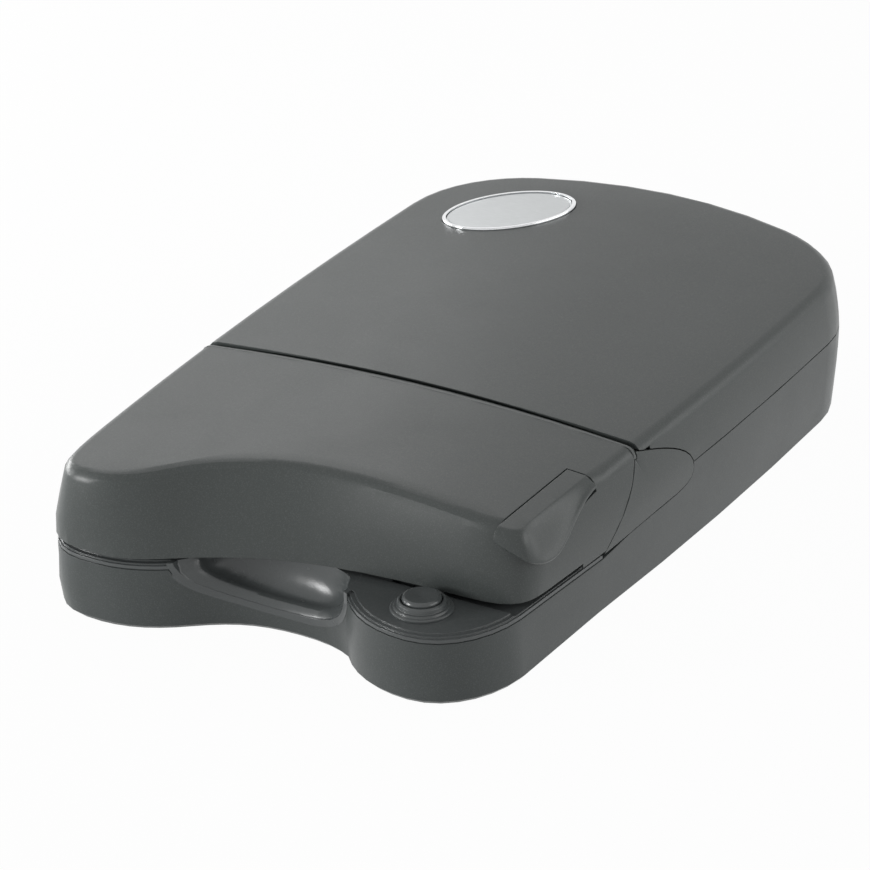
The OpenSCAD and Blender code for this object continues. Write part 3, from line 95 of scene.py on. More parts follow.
class Link:
    """Short way to add nodes to a tree and to join their sockets."""

    def __init__(self, tree: bpy.types.NodeTree) -> None:
        """Keeps the tree that the nodes go into.

        Args:
            tree: A material's or a group's node tree.
        """
        self.tree = tree

    def add(self, kind: str, **settings: object) -> bpy.types.Node:
        """Adds a node and sets its properties and unlinked inputs.

        Args:
            kind: Node type, such as "ShaderNodeBump".
            settings: Properties by name, or input values by name after the prefix in_.

        Returns:
            The new node.
        """
        node = self.tree.nodes.new(kind)
        for name, value in settings.items():
            if name.startswith("in_"):
                node.inputs[name[3:].replace("_", " ")].default_value = value
            else:
                setattr(node, name, value)
        return node

    def join(self, source: bpy.types.NodeSocket, target: bpy.types.NodeSocket) -> None:
        """Links an output to an input."""
        self.tree.links.new(source, target)

    def maths(self, operation: str, first: object, second: object) -> bpy.types.NodeSocket:
        """Adds a Math node.

        Args:
            operation: Blender's name for the operation.
            first: A socket or a number.
            second: A socket or a number.

        Returns:
            The node's output.
        """
        node = self.add("ShaderNodeMath", operation=operation)
        for slot, value in enumerate((first, second)):
            if isinstance(value, bpy.types.NodeSocket):
                self.join(value, node.inputs[slot])
            else:
                node.inputs[slot].default_value = value
        return node.outputs[0]

    def ramp(self, source: bpy.types.NodeSocket, low: float, high: float) -> bpy.types.NodeSocket:
        """Turns the part of a value from low to high into a mask from 0 to 1.

        Args:
            source: The value.
            low: The value that gives 0.
            high: The value that gives 1.

        Returns:
            The mask.
        """
        node = self.add("ShaderNodeMapRange", in_From_Min=low, in_From_Max=high)
        self.join(source, node.inputs["Value"])
        return node.outputs["Result"]

    def mix(self, mask: bpy.types.NodeSocket, first: object, second: object) -> bpy.types.NodeSocket:
        """Mixes two colours by a mask.

        Args:
            mask: 0 gives the first colour and 1 the second.
            first: A socket or a colour.
            second: A socket or a colour.

        Returns:
            The mixed colour.
        """
        node = self.add("ShaderNodeMix", data_type="RGBA")
        self.join(mask, node.inputs["Factor"])
        for slot, value in ((6, first), (7, second)):
            if isinstance(value, bpy.types.NodeSocket):
                self.join(value, node.inputs[slot])
            else:
                node.inputs[slot].default_value = (*value, 1.0)
        return node.outputs[2]

    def seen_directly(self) -> bpy.types.NodeSocket:
        """Tells the rays from the camera, from gloss and through glass from the rest.

        Returns:
            A value of 1 for those rays and 0 for the rest.
        """
        path = self.add("ShaderNodeLightPath")
        seen = self.maths("MAXIMUM", path.outputs["Is Camera Ray"], path.outputs["Is Glossy Ray"])
        return self.maths("MAXIMUM", seen, path.outputs["Is Transmission Ray"])


class Effects:
    """Shader node groups that more than one finish uses, each built once."""

    FLECK_BAND = (0.5, 0.68)
    CELL_SCALE = 0.55
    CELL_HEIGHT = 0.4
    SHADE_BAND = (0.35, 0.7)
    SHADE_DEPTH = 0.10
    SHADE_TONE = (0.02, 0.02, 0.02)
    HAND_BAND = (0.3, 0.7)
    LINE_BAND = (0.35, 0.65)
    UPWARD_BAND = (0.2, 0.95)
    SPECK_BAND = (0.45, 0.7)

    def __init__(self) -> None:
        """Builds the groups."""
        self.grain = self._grain()
        self.handling = self._handling()
        self.brushing = self._brushing()
        self.dust = self._dust()

    @staticmethod
    def _open(name: str, inputs: dict[str, float | Colour], outputs: dict[str, str]) -> Group:
        """Makes an empty group with its sockets.

        Args:
            name: The group's name.
            inputs: Default of each input, a number or a colour.
            outputs: Socket type of each output.

        Returns:
            The group, its Link helper, its input node and its output node.
        """
        group = bpy.data.node_groups.new(name, "ShaderNodeTree")
        for label, value in inputs.items():
            kind = "NodeSocketColor" if isinstance(value, tuple) else "NodeSocketFloat"
            socket = group.interface.new_socket(name=label, in_out="INPUT", socket_type=kind)
            socket.default_value = (*value, 1.0) if isinstance(value, tuple) else value
        for label, kind in outputs.items():
            group.interface.new_socket(name=label, in_out="OUTPUT", socket_type=kind)
        link = Link(group)
        return group, link, link.add("NodeGroupInput"), link.add("NodeGroupOutput")

    def _grain(self) -> bpy.types.NodeTree:
        """Builds fine moulded grain: a height, and a tone with light flecks and slow shade.

        Returns:
            The group.
        """
        group, link, given, out = self._open(
            "Moulded grain",
            {"Tone": (0.1, 0.1, 0.1), "Fleck": (0.2, 0.2, 0.2), "Fleck Share": 0.3, "Scale": 2600.0},
            {"Colour": "NodeSocketColor", "Height": "NodeSocketFloat"},
        )
        place = link.add("ShaderNodeTexCoord").outputs["Object"]
        fine = link.add("ShaderNodeTexNoise", in_Detail=3.0, in_Roughness=0.6)
        link.join(place, fine.inputs["Vector"])
        link.join(given.outputs["Scale"], fine.inputs["Scale"])
        cells = link.add("ShaderNodeTexVoronoi", feature="F1")
        link.join(place, cells.inputs["Vector"])
        coarser = link.maths("MULTIPLY", given.outputs["Scale"], self.CELL_SCALE)
        link.join(coarser, cells.inputs["Scale"])
        slow = link.add("ShaderNodeTexNoise", in_Scale=14.0, in_Detail=2.0)
        link.join(place, slow.inputs["Vector"])
        light = link.ramp(fine.outputs["Fac"], *self.FLECK_BAND)
        flecks = link.maths("MULTIPLY", light, given.outputs["Fleck Share"])
        toned = link.mix(flecks, given.outputs["Tone"], given.outputs["Fleck"])
        dark = link.ramp(slow.outputs["Fac"], *self.SHADE_BAND)
        shade = link.maths("MULTIPLY", dark, self.SHADE_DEPTH)
        link.join(link.mix(shade, toned, self.SHADE_TONE), out.inputs["Colour"])
        pits = link.maths("MULTIPLY", cells.outputs["Distance"], self.CELL_HEIGHT)
        link.join(link.maths("ADD", fine.outputs["Fac"], pits), out.inputs["Height"])
        return group

    def _handling(self) -> bpy.types.NodeTree:
        """Builds a roughness with the faint, wide marks that hands leave, and finer rubbing.

        Returns:
            The group.
        """
        group, link, given, out = self._open(
            "Handling marks",
            {"Roughness": 0.4, "Spread": 0.06, "Scale": 38.0},
            {"Roughness": "NodeSocketFloat"},
        )
        place = link.add("ShaderNodeTexCoord").outputs["Object"]
        wide = link.add("ShaderNodeTexNoise", in_Detail=4.0, in_Distortion=0.6)
        link.join(place, wide.inputs["Vector"])
        link.join(given.outputs["Scale"], wide.inputs["Scale"])
        rub = link.add("ShaderNodeTexNoise", in_Scale=420.0, in_Detail=2.0)
        link.join(place, rub.inputs["Vector"])
        both = link.maths("ADD", link.ramp(wide.outputs["Fac"], *self.HAND_BAND), rub.outputs["Fac"])
        around = link.maths("MULTIPLY", link.maths("SUBTRACT", both, 1.0), given.outputs["Spread"])
        link.join(link.maths("ADD", given.outputs["Roughness"], around), out.inputs["Roughness"])
        return group

    def _brushing(self) -> bpy.types.NodeTree:
        """Builds fine scratches along one direction: a height and a mask.

        Returns:
            The group.
        """
        group, link, given, out = self._open(
            "Brushed lines",
            {"Scale": 3000.0} | dict.fromkeys(STRETCHES, 1.0),
            {"Height": "NodeSocketFloat", "Mask": "NodeSocketFloat"},
        )
        place = link.add("ShaderNodeTexCoord").outputs["Object"]
        stretch = link.add("ShaderNodeCombineXYZ")
        for slot, label in enumerate(STRETCHES):
            link.join(given.outputs[label], stretch.inputs[slot])
        pulled = link.add("ShaderNodeVectorMath", operation="MULTIPLY")
        link.join(place, pulled.inputs[0])
        link.join(stretch.outputs[0], pulled.inputs[1])
        lines = link.add("ShaderNodeTexNoise", in_Detail=3.0)
        link.join(pulled.outputs[0], lines.inputs["Vector"])
        link.join(given.outputs["Scale"], lines.inputs["Scale"])
        link.join(lines.outputs["Fac"], out.inputs["Height"])
        link.join(link.ramp(lines.outputs["Fac"], *self.LINE_BAND), out.inputs["Mask"])
        return group

    def _dust(self) -> bpy.types.NodeTree:
        """Builds light dust on faces that look upwards.

        Returns:
            The group.
        """
        group, link, given, out = self._open(
            "Settled dust",
            {"Colour": (0.1, 0.1, 0.1), "Dust": (0.35, 0.34, 0.32), "Amount": 0.05},
            {"Colour": "NodeSocketColor"},
        )
        normal = link.add("ShaderNodeNewGeometry").outputs["Normal"]
        parts = link.add("ShaderNodeSeparateXYZ")
        link.join(normal, parts.inputs[0])
        place = link.add("ShaderNodeTexCoord").outputs["Object"]
        specks = link.add("ShaderNodeTexNoise", in_Scale=900.0, in_Detail=4.0, in_Roughness=0.7)
        link.join(place, specks.inputs["Vector"])
        upward = link.ramp(parts.outputs["Z"], *self.UPWARD_BAND)
        mask = link.maths("MULTIPLY", upward, link.ramp(specks.outputs["Fac"], *self.SPECK_BAND))
        mask = link.maths("MULTIPLY", mask, given.outputs["Amount"])
        link.join(link.mix(mask, given.outputs["Colour"], given.outputs["Dust"]), out.inputs["Colour"])
        return group


def blank_material(name: str) -> tuple[bpy.types.Material, Link, bpy.types.Node]:
    """Makes a material with a lone Principled shader.

    Args:
        name: The material's name.

    Returns:
        The material, its Link helper and the shader node.
    """
    material = bpy.data.materials.new(name)
    material.use_nodes = True
    material.node_tree.nodes.clear()
    link = Link(material.node_tree)
    shader = link.add("ShaderNodeBsdfPrincipled")
    link.join(shader.outputs[0], link.add("ShaderNodeOutputMaterial").inputs["Surface"])
    return material, link, shader


@dataclass(frozen=True)
class Plastic:
    """Moulded or painted plastic."""

    name: str
    tone: Colour
    fleck: Colour
    fleck_share: float = 0.35
    roughness: float = 0.42
    spread: float = 0.05
    grain_scale: float = 2600.0
    grain_depth: float = 0.02
    dust: float = 0.04
    edge: float = 0.35 * MM
    specular: float = 0.5
    metallic: float = 0.0
    edge_samples: int = 6

    def make(self, effects: Effects) -> bpy.types.Material:
        """Builds the material.

        Args:
            effects: The shared node groups.

        Returns:
            The finished material.
        """
        material, link, shader = blank_material(self.name)
        shader.inputs["Specular IOR Level"].default_value = self.specular
        shader.inputs["Metallic"].default_value = self.metallic
        grain = link.add("ShaderNodeGroup", node_tree=effects.grain)
        grain.inputs["Tone"].default_value = (*self.tone, 1.0)
        grain.inputs["Fleck"].default_value = (*self.fleck, 1.0)
        grain.inputs["Fleck Share"].default_value = self.fleck_share
        grain.inputs["Scale"].default_value = self.grain_scale
        dust = link.add("ShaderNodeGroup", node_tree=effects.dust)
        dust.inputs["Amount"].default_value = self.dust
        link.join(grain.outputs["Colour"], dust.inputs["Colour"])
        link.join(dust.outputs["Colour"], shader.inputs["Base Color"])
        handling = link.add("ShaderNodeGroup", node_tree=effects.handling)
        handling.inputs["Roughness"].default_value = self.roughness
        handling.inputs["Spread"].default_value = self.spread
        link.join(handling.outputs["Roughness"], shader.inputs["Roughness"])
        bump = link.add("ShaderNodeBump", in_Strength=1.0, in_Distance=self.grain_depth * MM)
        link.join(grain.outputs["Height"], bump.inputs["Height"])
        rounding = link.add("ShaderNodeBevel", samples=self.edge_samples, in_Radius=self.edge)
        link.join(rounding.outputs["Normal"], bump.inputs["Normal"])
        link.join(bump.outputs["Normal"], shader.inputs["Normal"])
        return material


@dataclass(frozen=True)
class Metal:
    """Brushed, turned or plated metal."""

    name: str
    tone: Colour
    roughness: float
    lines: Axis = Axis.X
    scale: float = 3000.0
    depth: float = 0.004
    contrast: float = 0.10
    edge: float = 0.15 * MM
    edge_samples: int = 4
    spread_share: float = 0.25

    def make(self, effects: Effects) -> bpy.types.Material:
        """Builds the material.

        Args:
            effects: The shared node groups.

        Returns:
            The finished material.
        """
        material, link, shader = blank_material(self.name)
        shader.inputs["Metallic"].default_value = 1.0
        brushing = link.add("ShaderNodeGroup", node_tree=effects.brushing)
        brushing.inputs["Scale"].default_value = self.scale
        for label, value in zip(STRETCHES, self.lines.value):
            brushing.inputs[label].default_value = value
        darker = tuple(c * (1.0 - self.contrast) for c in self.tone)
        link.join(link.mix(brushing.outputs["Mask"], darker, self.tone), shader.inputs["Base Color"])
        handling = link.add("ShaderNodeGroup", node_tree=effects.handling)
        handling.inputs["Roughness"].default_value = self.roughness
        handling.inputs["Spread"].default_value = self.roughness * self.spread_share
        link.join(handling.outputs["Roughness"], shader.inputs["Roughness"])
        bump = link.add("ShaderNodeBump", in_Strength=1.0, in_Distance=self.depth * MM)
        link.join(brushing.outputs["Height"], bump.inputs["Height"])
        rounding = link.add("ShaderNodeBevel", samples=self.edge_samples, in_Radius=self.edge)
        link.join(rounding.outputs["Normal"], bump.inputs["Normal"])
        link.join(bump.outputs["Normal"], shader.inputs["Normal"])
        return material


@dataclass(frozen=True)
class Glass:
    """Clear glass with faint smears."""

    name: str
    tint: Colour
    roughness: float = 0.03
    bending: float = 1.5
    smear: Colour = (1.0, 1.0, 1.0)
    smear_share: float = 0.1
    smear_scale: float = 60.0

    def make(self, effects: Effects) -> bpy.types.Material:
        """Builds the material.

        Args:
            effects: The shared node groups.

        Returns:
            The finished material.
        """
        material, link, shader = blank_material(self.name)
        shader.inputs["Transmission Weight"].default_value = 1.0
        shader.inputs["IOR"].default_value = self.bending
        grain = link.add("ShaderNodeGroup", node_tree=effects.grain)
        grain.inputs["Tone"].default_value = (*self.tint, 1.0)
        grain.inputs["Fleck"].default_value = (*self.smear, 1.0)
        grain.inputs["Fleck Share"].default_value = self.smear_share
        grain.inputs["Scale"].default_value = self.smear_scale
        link.join(grain.outputs["Colour"], shader.inputs["Base Color"])
        handling = link.add("ShaderNodeGroup", node_tree=effects.handling)
        handling.inputs["Roughness"].default_value = self.roughness
        handling.inputs["Spread"].default_value = self.roughness
        link.join(handling.outputs["Roughness"], shader.inputs["Roughness"])
        return material


@dataclass(frozen=True)
class CircuitBoard:
    """Lacquered circuit board with tracks and tinned pads under the lacquer."""

    name: str
    lacquer: Colour = (0.012, 0.09, 0.035)
    track: Colour = (0.03, 0.16, 0.07)
    tin: Colour = (0.6, 0.6, 0.58)
    pitch: float = 420.0
    track_width: float = 0.06
    pad_scale: float = 1.1
    pad_scatter: float = 0.35
    pad_band: tuple[float, float] = (0.16, 0.12)
    roughness: float = 0.3
    relief: float = 0.03 * MM
    relief_strength: float = 0.6

    def make(self, effects: Effects) -> bpy.types.Material:
        """Builds the material.

        Args:
            effects: The shared node groups.

        Returns:
            The finished material.
        """
        material, link, shader = blank_material(self.name)
        place = link.add("ShaderNodeTexCoord").outputs["Object"]
        tracks = link.add("ShaderNodeTexBrick", in_Scale=self.pitch, in_Mortar_Size=self.track_width,
                          in_Color1=(0, 0, 0, 1), in_Color2=(0, 0, 0, 1), in_Mortar=(1, 1, 1, 1))
        link.join(place, tracks.inputs["Vector"])
        dots = link.add("ShaderNodeTexVoronoi", feature="F1", in_Scale=self.pitch * self.pad_scale,
                        in_Randomness=self.pad_scatter)
        link.join(place, dots.inputs["Vector"])
        pads = link.ramp(dots.outputs["Distance"], *self.pad_band)
        laid = link.mix(tracks.outputs["Fac"], self.lacquer, self.track)
        link.join(link.mix(pads, laid, self.tin), shader.inputs["Base Color"])
        link.join(pads, shader.inputs["Metallic"])
        handling = link.add("ShaderNodeGroup", node_tree=effects.handling)
        handling.inputs["Roughness"].default_value = self.roughness
        link.join(handling.outputs["Roughness"], shader.inputs["Roughness"])
        bump = link.add("ShaderNodeBump", in_Strength=self.relief_strength, in_Distance=self.relief)
        link.join(tracks.outputs["Fac"], bump.inputs["Height"])
        link.join(bump.outputs["Normal"], shader.inputs["Normal"])
        return material


COVER = Plastic("Cover satin charcoal", (0.070, 0.079, 0.077), (0.17, 0.185, 0.18), 0.3, 0.33,
                specular=0.35)
BASE = Plastic("Base satin charcoal", (0.074, 0.083, 0.082), (0.17, 0.185, 0.18), 0.3, 0.36,
               specular=0.3)
# The deck's tone is the shells' satin charcoal painted lighter: painted light that makes up for the lid's
# shade over the deck.
DECK_PAINTED_LIGHTER = Plastic("Deck satin charcoal painted lighter", (0.092, 0.101, 0.102), (0.15, 0.16, 0.16), 0.2, 0.26,
               grain_depth=0.010)
INNER = Plastic("Inner matt black", (0.020, 0.020, 0.021), (0.05, 0.05, 0.05), 0.2, 0.6, grain_depth=0.03)
BLACK = Plastic("Socket black", (0.012, 0.012, 0.012), (0.03, 0.03, 0.03), 0.2, 0.38, edge=0.2 * MM)
WHITE = Plastic("Diffuser white", (0.80, 0.80, 0.77), (0.9, 0.9, 0.88), 0.2, 0.45, dust=0.02)
GEAR = Plastic("Gear ivory", (0.62, 0.58, 0.47), (0.7, 0.67, 0.58), 0.2, 0.38, edge=0.12 * MM)
RUBBER = Plastic("Foot rubber", (0.018, 0.018, 0.018), (0.05, 0.05, 0.05), 0.3, 0.8, grain_depth=0.05)
LUG = Plastic("Bracket paint", (0.045, 0.045, 0.048), (0.1, 0.1, 0.1), 0.3, 0.45, metallic=0.3)
BADGE = Metal("Badge satin silver", (0.53, 0.545, 0.55), 0.36, Axis.X, 4200.0, 0.003, 0.08)
TRIM = Metal("Badge ring bright", (0.86, 0.87, 0.88), 0.09, Axis.X, 2000.0, 0.001, 0.02)
STEEL = Metal("Turned steel", (0.56, 0.56, 0.565), 0.28, Axis.X)
BRASS = Metal("Turned brass", (0.70, 0.52, 0.24), 0.26, Axis.Z)
MIRROR = Metal("Mirror face", (0.9, 0.9, 0.9), 0.04, Axis.X, 200.0, 0.0005, 0.01)
CLEAR = Glass("Clear glass", (0.92, 0.96, 0.95))
BOARD = CircuitBoard("Circuit board green")

Finish = Plastic | Metal | Glass | CircuitBoard


def ease(value: float, low: float, high: float) -> float:
    """Rises smoothly from 0 at low to 1 at high.

    Args:
        value: Where to look.
        low: The value at which the rise starts.
        high: The value at which it ends.

    Returns:
        A number from 0 to 1.
    """
    t = max(0.0, min(1.0, (value - low) / (high - low)))
    return t * t * (3.0 - 2.0 * t)


def bend(a: Vector, b: Vector, c: Vector, d: Vector, t: float) -> Vector:
    """Gives a point of a cubic curve.

    Args:
        a: The curve's start.
        b: The handle of the start.
        c: The handle of the end.
        d: The curve's end.
        t: Share of the way along it.

    Returns:
        The point.
    """
    u = 1.0 - t
    return a * u**3 + b * (3 * t * u * u) + c * (3 * t * t * u) + d * t**3


def grid_faces(work: bmesh.types.BMesh, rings: list[list[Vector]], closed: bool) -> None:
    """Adds rings of equal length and joins neighbours with four-sided faces.

    Args:
        work: The mesh that they go into.
        rings: The points of each ring, in metres.
        closed: Whether a ring's last point joins its first.
    """
    rows = [[work.verts.new(point) for point in ring] for ring in rings]
    count = len(rings[0])
    for low, high in zip(rows, rows[1:]):
        for k in range(count if closed else count - 1):
            n = (k + 1) % count
            work.faces.new((low[k], low[n], high[n], high[k]))


@dataclass(frozen=True)
class CornerBulge:
    """How the housings swell at the left front corner, widest at the seam between lid and base."""

    centre: tuple[float, float] = (-0.077, -0.118)
    way: tuple[float, float] = (-0.85, -0.53)
    spread: float = 19.0 * MM
    reach: float = 4.7 * MM
    top: float = 47.0 * MM
    seam: float = 24.0 * MM
    low: float = 8.0 * MM
    under: float = 8.6 * MM
    limit: Vector = field(default_factory=lambda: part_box("base_shell")[0].copy())

    def __call__(self, point: Vector) -> Vector:
        """Moves a point of a shell.

        Args:
            point: Its place, in metres.

        Returns:
            Its new place, kept inside the model's own box.
        """
        away = math.hypot(point.x - self.centre[0], point.y - self.centre[1])
        share = math.exp(-((away / self.spread) ** 2)) * (1.0 - ease(point.z, self.seam, self.top))
        if point.z < self.low:
            share *= math.sqrt(max(0.0, 1.0 - ((self.low - point.z) / self.under) ** 2))
        x = point.x + self.way[0] * share * self.reach
        y = point.y + self.way[1] * share * self.reach
        return Vector((max(x, self.limit.x), max(y, min(point.y, self.limit.y)), point.z))


class Workshop:
    """The loaded frame and the finishes that are made for it."""

    def __init__(self) -> None:
        """Loads the frame and builds the shared groups."""
        self.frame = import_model()
        self.effects = Effects()
        self._made: dict[str, bpy.types.Material] = {}

    def finish(self, finish: Finish) -> bpy.types.Material:
        """Gives a finish's material, built on its first use.

        Args:
            finish: The finish.

        Returns:
            Its material.
        """
        if finish.name not in self._made:
            self._made[finish.name] = finish.make(self.effects)
        return self._made[finish.name]

    def node(self, name: str) -> bpy.types.Object:
        """Gives a CAD node's object."""
        return self.frame["nodes"][name]

    def dress(self, finish: Finish, *names: str) -> None:
        """Puts a finish on CAD nodes.

        Args:
            finish: What they are made of.
            names: The nodes.
        """
        for name in names:
            slots = self.node(name).data.materials
            slots.clear()
            slots.append(self.finish(finish))
            LOG.info("%s: %s", name, finish.name)

    def welded(self, name: str, *moves: Mover) -> bmesh.types.BMesh:
        """Copies a CAD node's mesh, joins its loose faces and moves its points.

        Args:
            name: The CAD node.
            moves: Functions that give a point's new place, in the order of use.

        Returns:
            The new mesh, still open for work.
        """
        work = bmesh.new()
        work.from_mesh(self.node(name).data)
        bmesh.ops.remove_doubles(work, verts=work.verts, dist=WELD)
        bmesh.ops.dissolve_degenerate(work, edges=work.edges, dist=WELD)
        self.move(work, *moves)
        return work

    @staticmethod
    def move(work: bmesh.types.BMesh, *moves: Mover) -> None:
        """Moves the points of an open mesh.

        Args:
            work: The mesh.
            moves: Functions that give a point's new place, in the order of use.
        """
        for vertex in work.verts:
            for mover in moves:
                vertex.co = mover(vertex.co)

    def skin(self, work: bmesh.types.BMesh, name: str, body: str, finish: Finish,
             crease: float) -> bpy.types.Object:
        """Makes an open mesh into the evenly shaded piece that stands for a CAD node.

        Args:
            work: The mesh, which is used up.
            name: The CAD node that it replaces.
            body: The body that it moves with.
            finish: What it is made of.
            crease: Angle in degrees above which an edge stays sharp.

        Returns:
            The new piece.
        """
        mesh = bpy.data.meshes.new(name + "_skin")
        work.to_mesh(mesh)
        work.free()
        for stale in ("custom_normal", "sharp_face", "sharp_edge"):
            if stale in mesh.attributes:
                mesh.attributes.remove(mesh.attributes[stale])
        mesh.polygons.foreach_set("use_smooth", [True] * len(mesh.polygons))
        mesh.set_sharp_from_angle(angle=math.radians(crease))
        mesh.materials.clear()
        mesh.materials.append(self.finish(finish))
        piece = bpy.data.objects.new(name + "_skin", mesh)
        bpy.context.scene.collection.objects.link(piece)
        even = piece.modifiers.new("Even shade", "WEIGHTED_NORMAL")
        even.keep_sharp = True
        even.weight = EVEN_WEIGHT
        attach(piece, body)
        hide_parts(name)
        LOG.info("%s: skin of %d faces, %s", name, len(mesh.polygons), finish.name)
        return piece

    def smooth_piece(self, name: str, body: str, finish: Finish, crease: float,
                     *moves: Mover) -> bpy.types.Object:
        """Replaces a faceted CAD shell by the same form with one welded, evenly shaded skin.

        Args:
            name: The CAD node.
            body: The body that it moves with.
            finish: What it is made of.
            crease: Angle in degrees above which an edge stays sharp.
            moves: Functions that give a point's new place, in the order of use.

        Returns:
            The new piece.
        """
        return self.skin(self.welded(name, *moves), name, body, finish, crease)


@dataclass
class LowerSkirt:
    """How the lower housing's foot comes down to the table and stands out in front."""

    frame: dict
    ring_z: float = 2.4 * MM
    drop: float = 1.0 * MM
    drop_height: float = 9.0 * MM
    reach: float = 2.4 * MM
    reach_height: float = 22.0 * MM
    front_y: float = -80.0 * MM
    fade_y: float = -60.0 * MM
    lobes_end: float = -105.0 * MM
    foot_in: float = 2.44 * MM
    draft: float = 2.6 * MM
    seam_z: float = 30.9 * MM
    seam_height: float = 29.7 * MM
    draft_power: float = 1.5
    skin_depth: float = 4.0 * MM
    still_depth: float = 9.0 * MM
    table_gap: float = 0.1 * MM
    same_height: float = 0.02 * MM
    limits: tuple[Vector, Vector] = field(init=False)
    tree: KDTree = field(init=False)
    outward: list[Vector] = field(init=False)
    front: list[tuple[float, float]] = field(init=False)

    def __post_init__(self) -> None:
        """Collects the outline's points and the directions in which the wall looks there."""
        work = bmesh.new()
        work.from_mesh(self.frame["nodes"]["base_shell"].data)
        bmesh.ops.remove_doubles(work, verts=work.verts, dist=WELD)
        work.normal_update()
        ring = [v for v in work.verts if abs(v.co.z - self.ring_z) < self.same_height]
        self.tree = KDTree(len(ring))
        self.outward = []
        for index, vertex in enumerate(ring):
            self.tree.insert(Vector((vertex.co.x, vertex.co.y, 0.0)), index)
            self.outward.append(Vector((vertex.normal.x, vertex.normal.y, 0.0)).normalized())
        self.tree.balance()
        self.front = sorted((v.co.x, v.co.y) for v in ring if v.co.y < self.lobes_end)
        low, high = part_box("base_shell")
        self.limits = (low.copy(), high.copy())
        work.free()

    def __call__(self, point: Vector) -> Vector:
        """Moves a point of the lower housing.

        Args:
            point: Its place, in metres.

        Returns:
            Its new place.
        """
        flat = Vector((point.x, point.y, 0.0))
        place, index, _ = self.tree.find(flat)
        way = self.outward[index]
        share = 1.0 - ease((place - flat).dot(way), self.skin_depth, self.still_depth)
        out = share * self.reach * (1.0 - ease(point.z, 0.0, self.reach_height))
        out *= 1.0 - ease(point.y, self.front_y, self.fade_y)
        down = share * self.drop * (1.0 - ease(point.z, 0.0, self.drop_height))
        low, high = self.limits
        moved = point + way * out
        moved.x = max(low.x, min(high.x, moved.x))
        moved.y = max(low.y, moved.y)
        moved.z = max(self.table_gap, moved.z - down)
        return moved

    def wall_y(self, x: float, z: float) -> float:
        """Gives the front wall's Y before it is moved.

        Args:
            x: Place across the front, between the lobes.
            z: Height.

        Returns:
            The wall's Y, all in metres.
        """
        pairs = list(zip(self.front, self.front[1:]))
        around = (pair for pair in pairs if pair[0][0] <= x <= pair[1][0] and pair[1][0] > pair[0][0])
        (x0, y0), (x1, y1) = next(around, pairs[-1])
        slope = (y1 - y0) / (x1 - x0)
        wall_in = self.draft * max(0.0, (self.seam_z - z) / self.seam_height) ** self.draft_power
        return y0 + slope * (x - x0) - (self.foot_in - wall_in) * math.hypot(1.0, slope)


@dataclass
class LowerHousing:
    """Lower shell with its feet and screws."""

    crease: float = 24.0

    def build(self, shop: Workshop) -> None:
        """Builds the shell's skin and dresses what is fixed under it.

        Args:
            shop: The frame and its finishes.
        """
        moves = LowerSkirt(shop.frame), CornerBulge()
        shop.smooth_piece("base_shell", "housing", BASE, self.crease, *moves)
        shop.dress(RUBBER, "rubber_feet")
        shop.dress(STEEL, "case_screws")


@dataclass(frozen=True)
class DishRing:
    """One ring of the finger dish round its mouth, in millimetres."""

    left: float
    right: float
    depth: float
    back: float


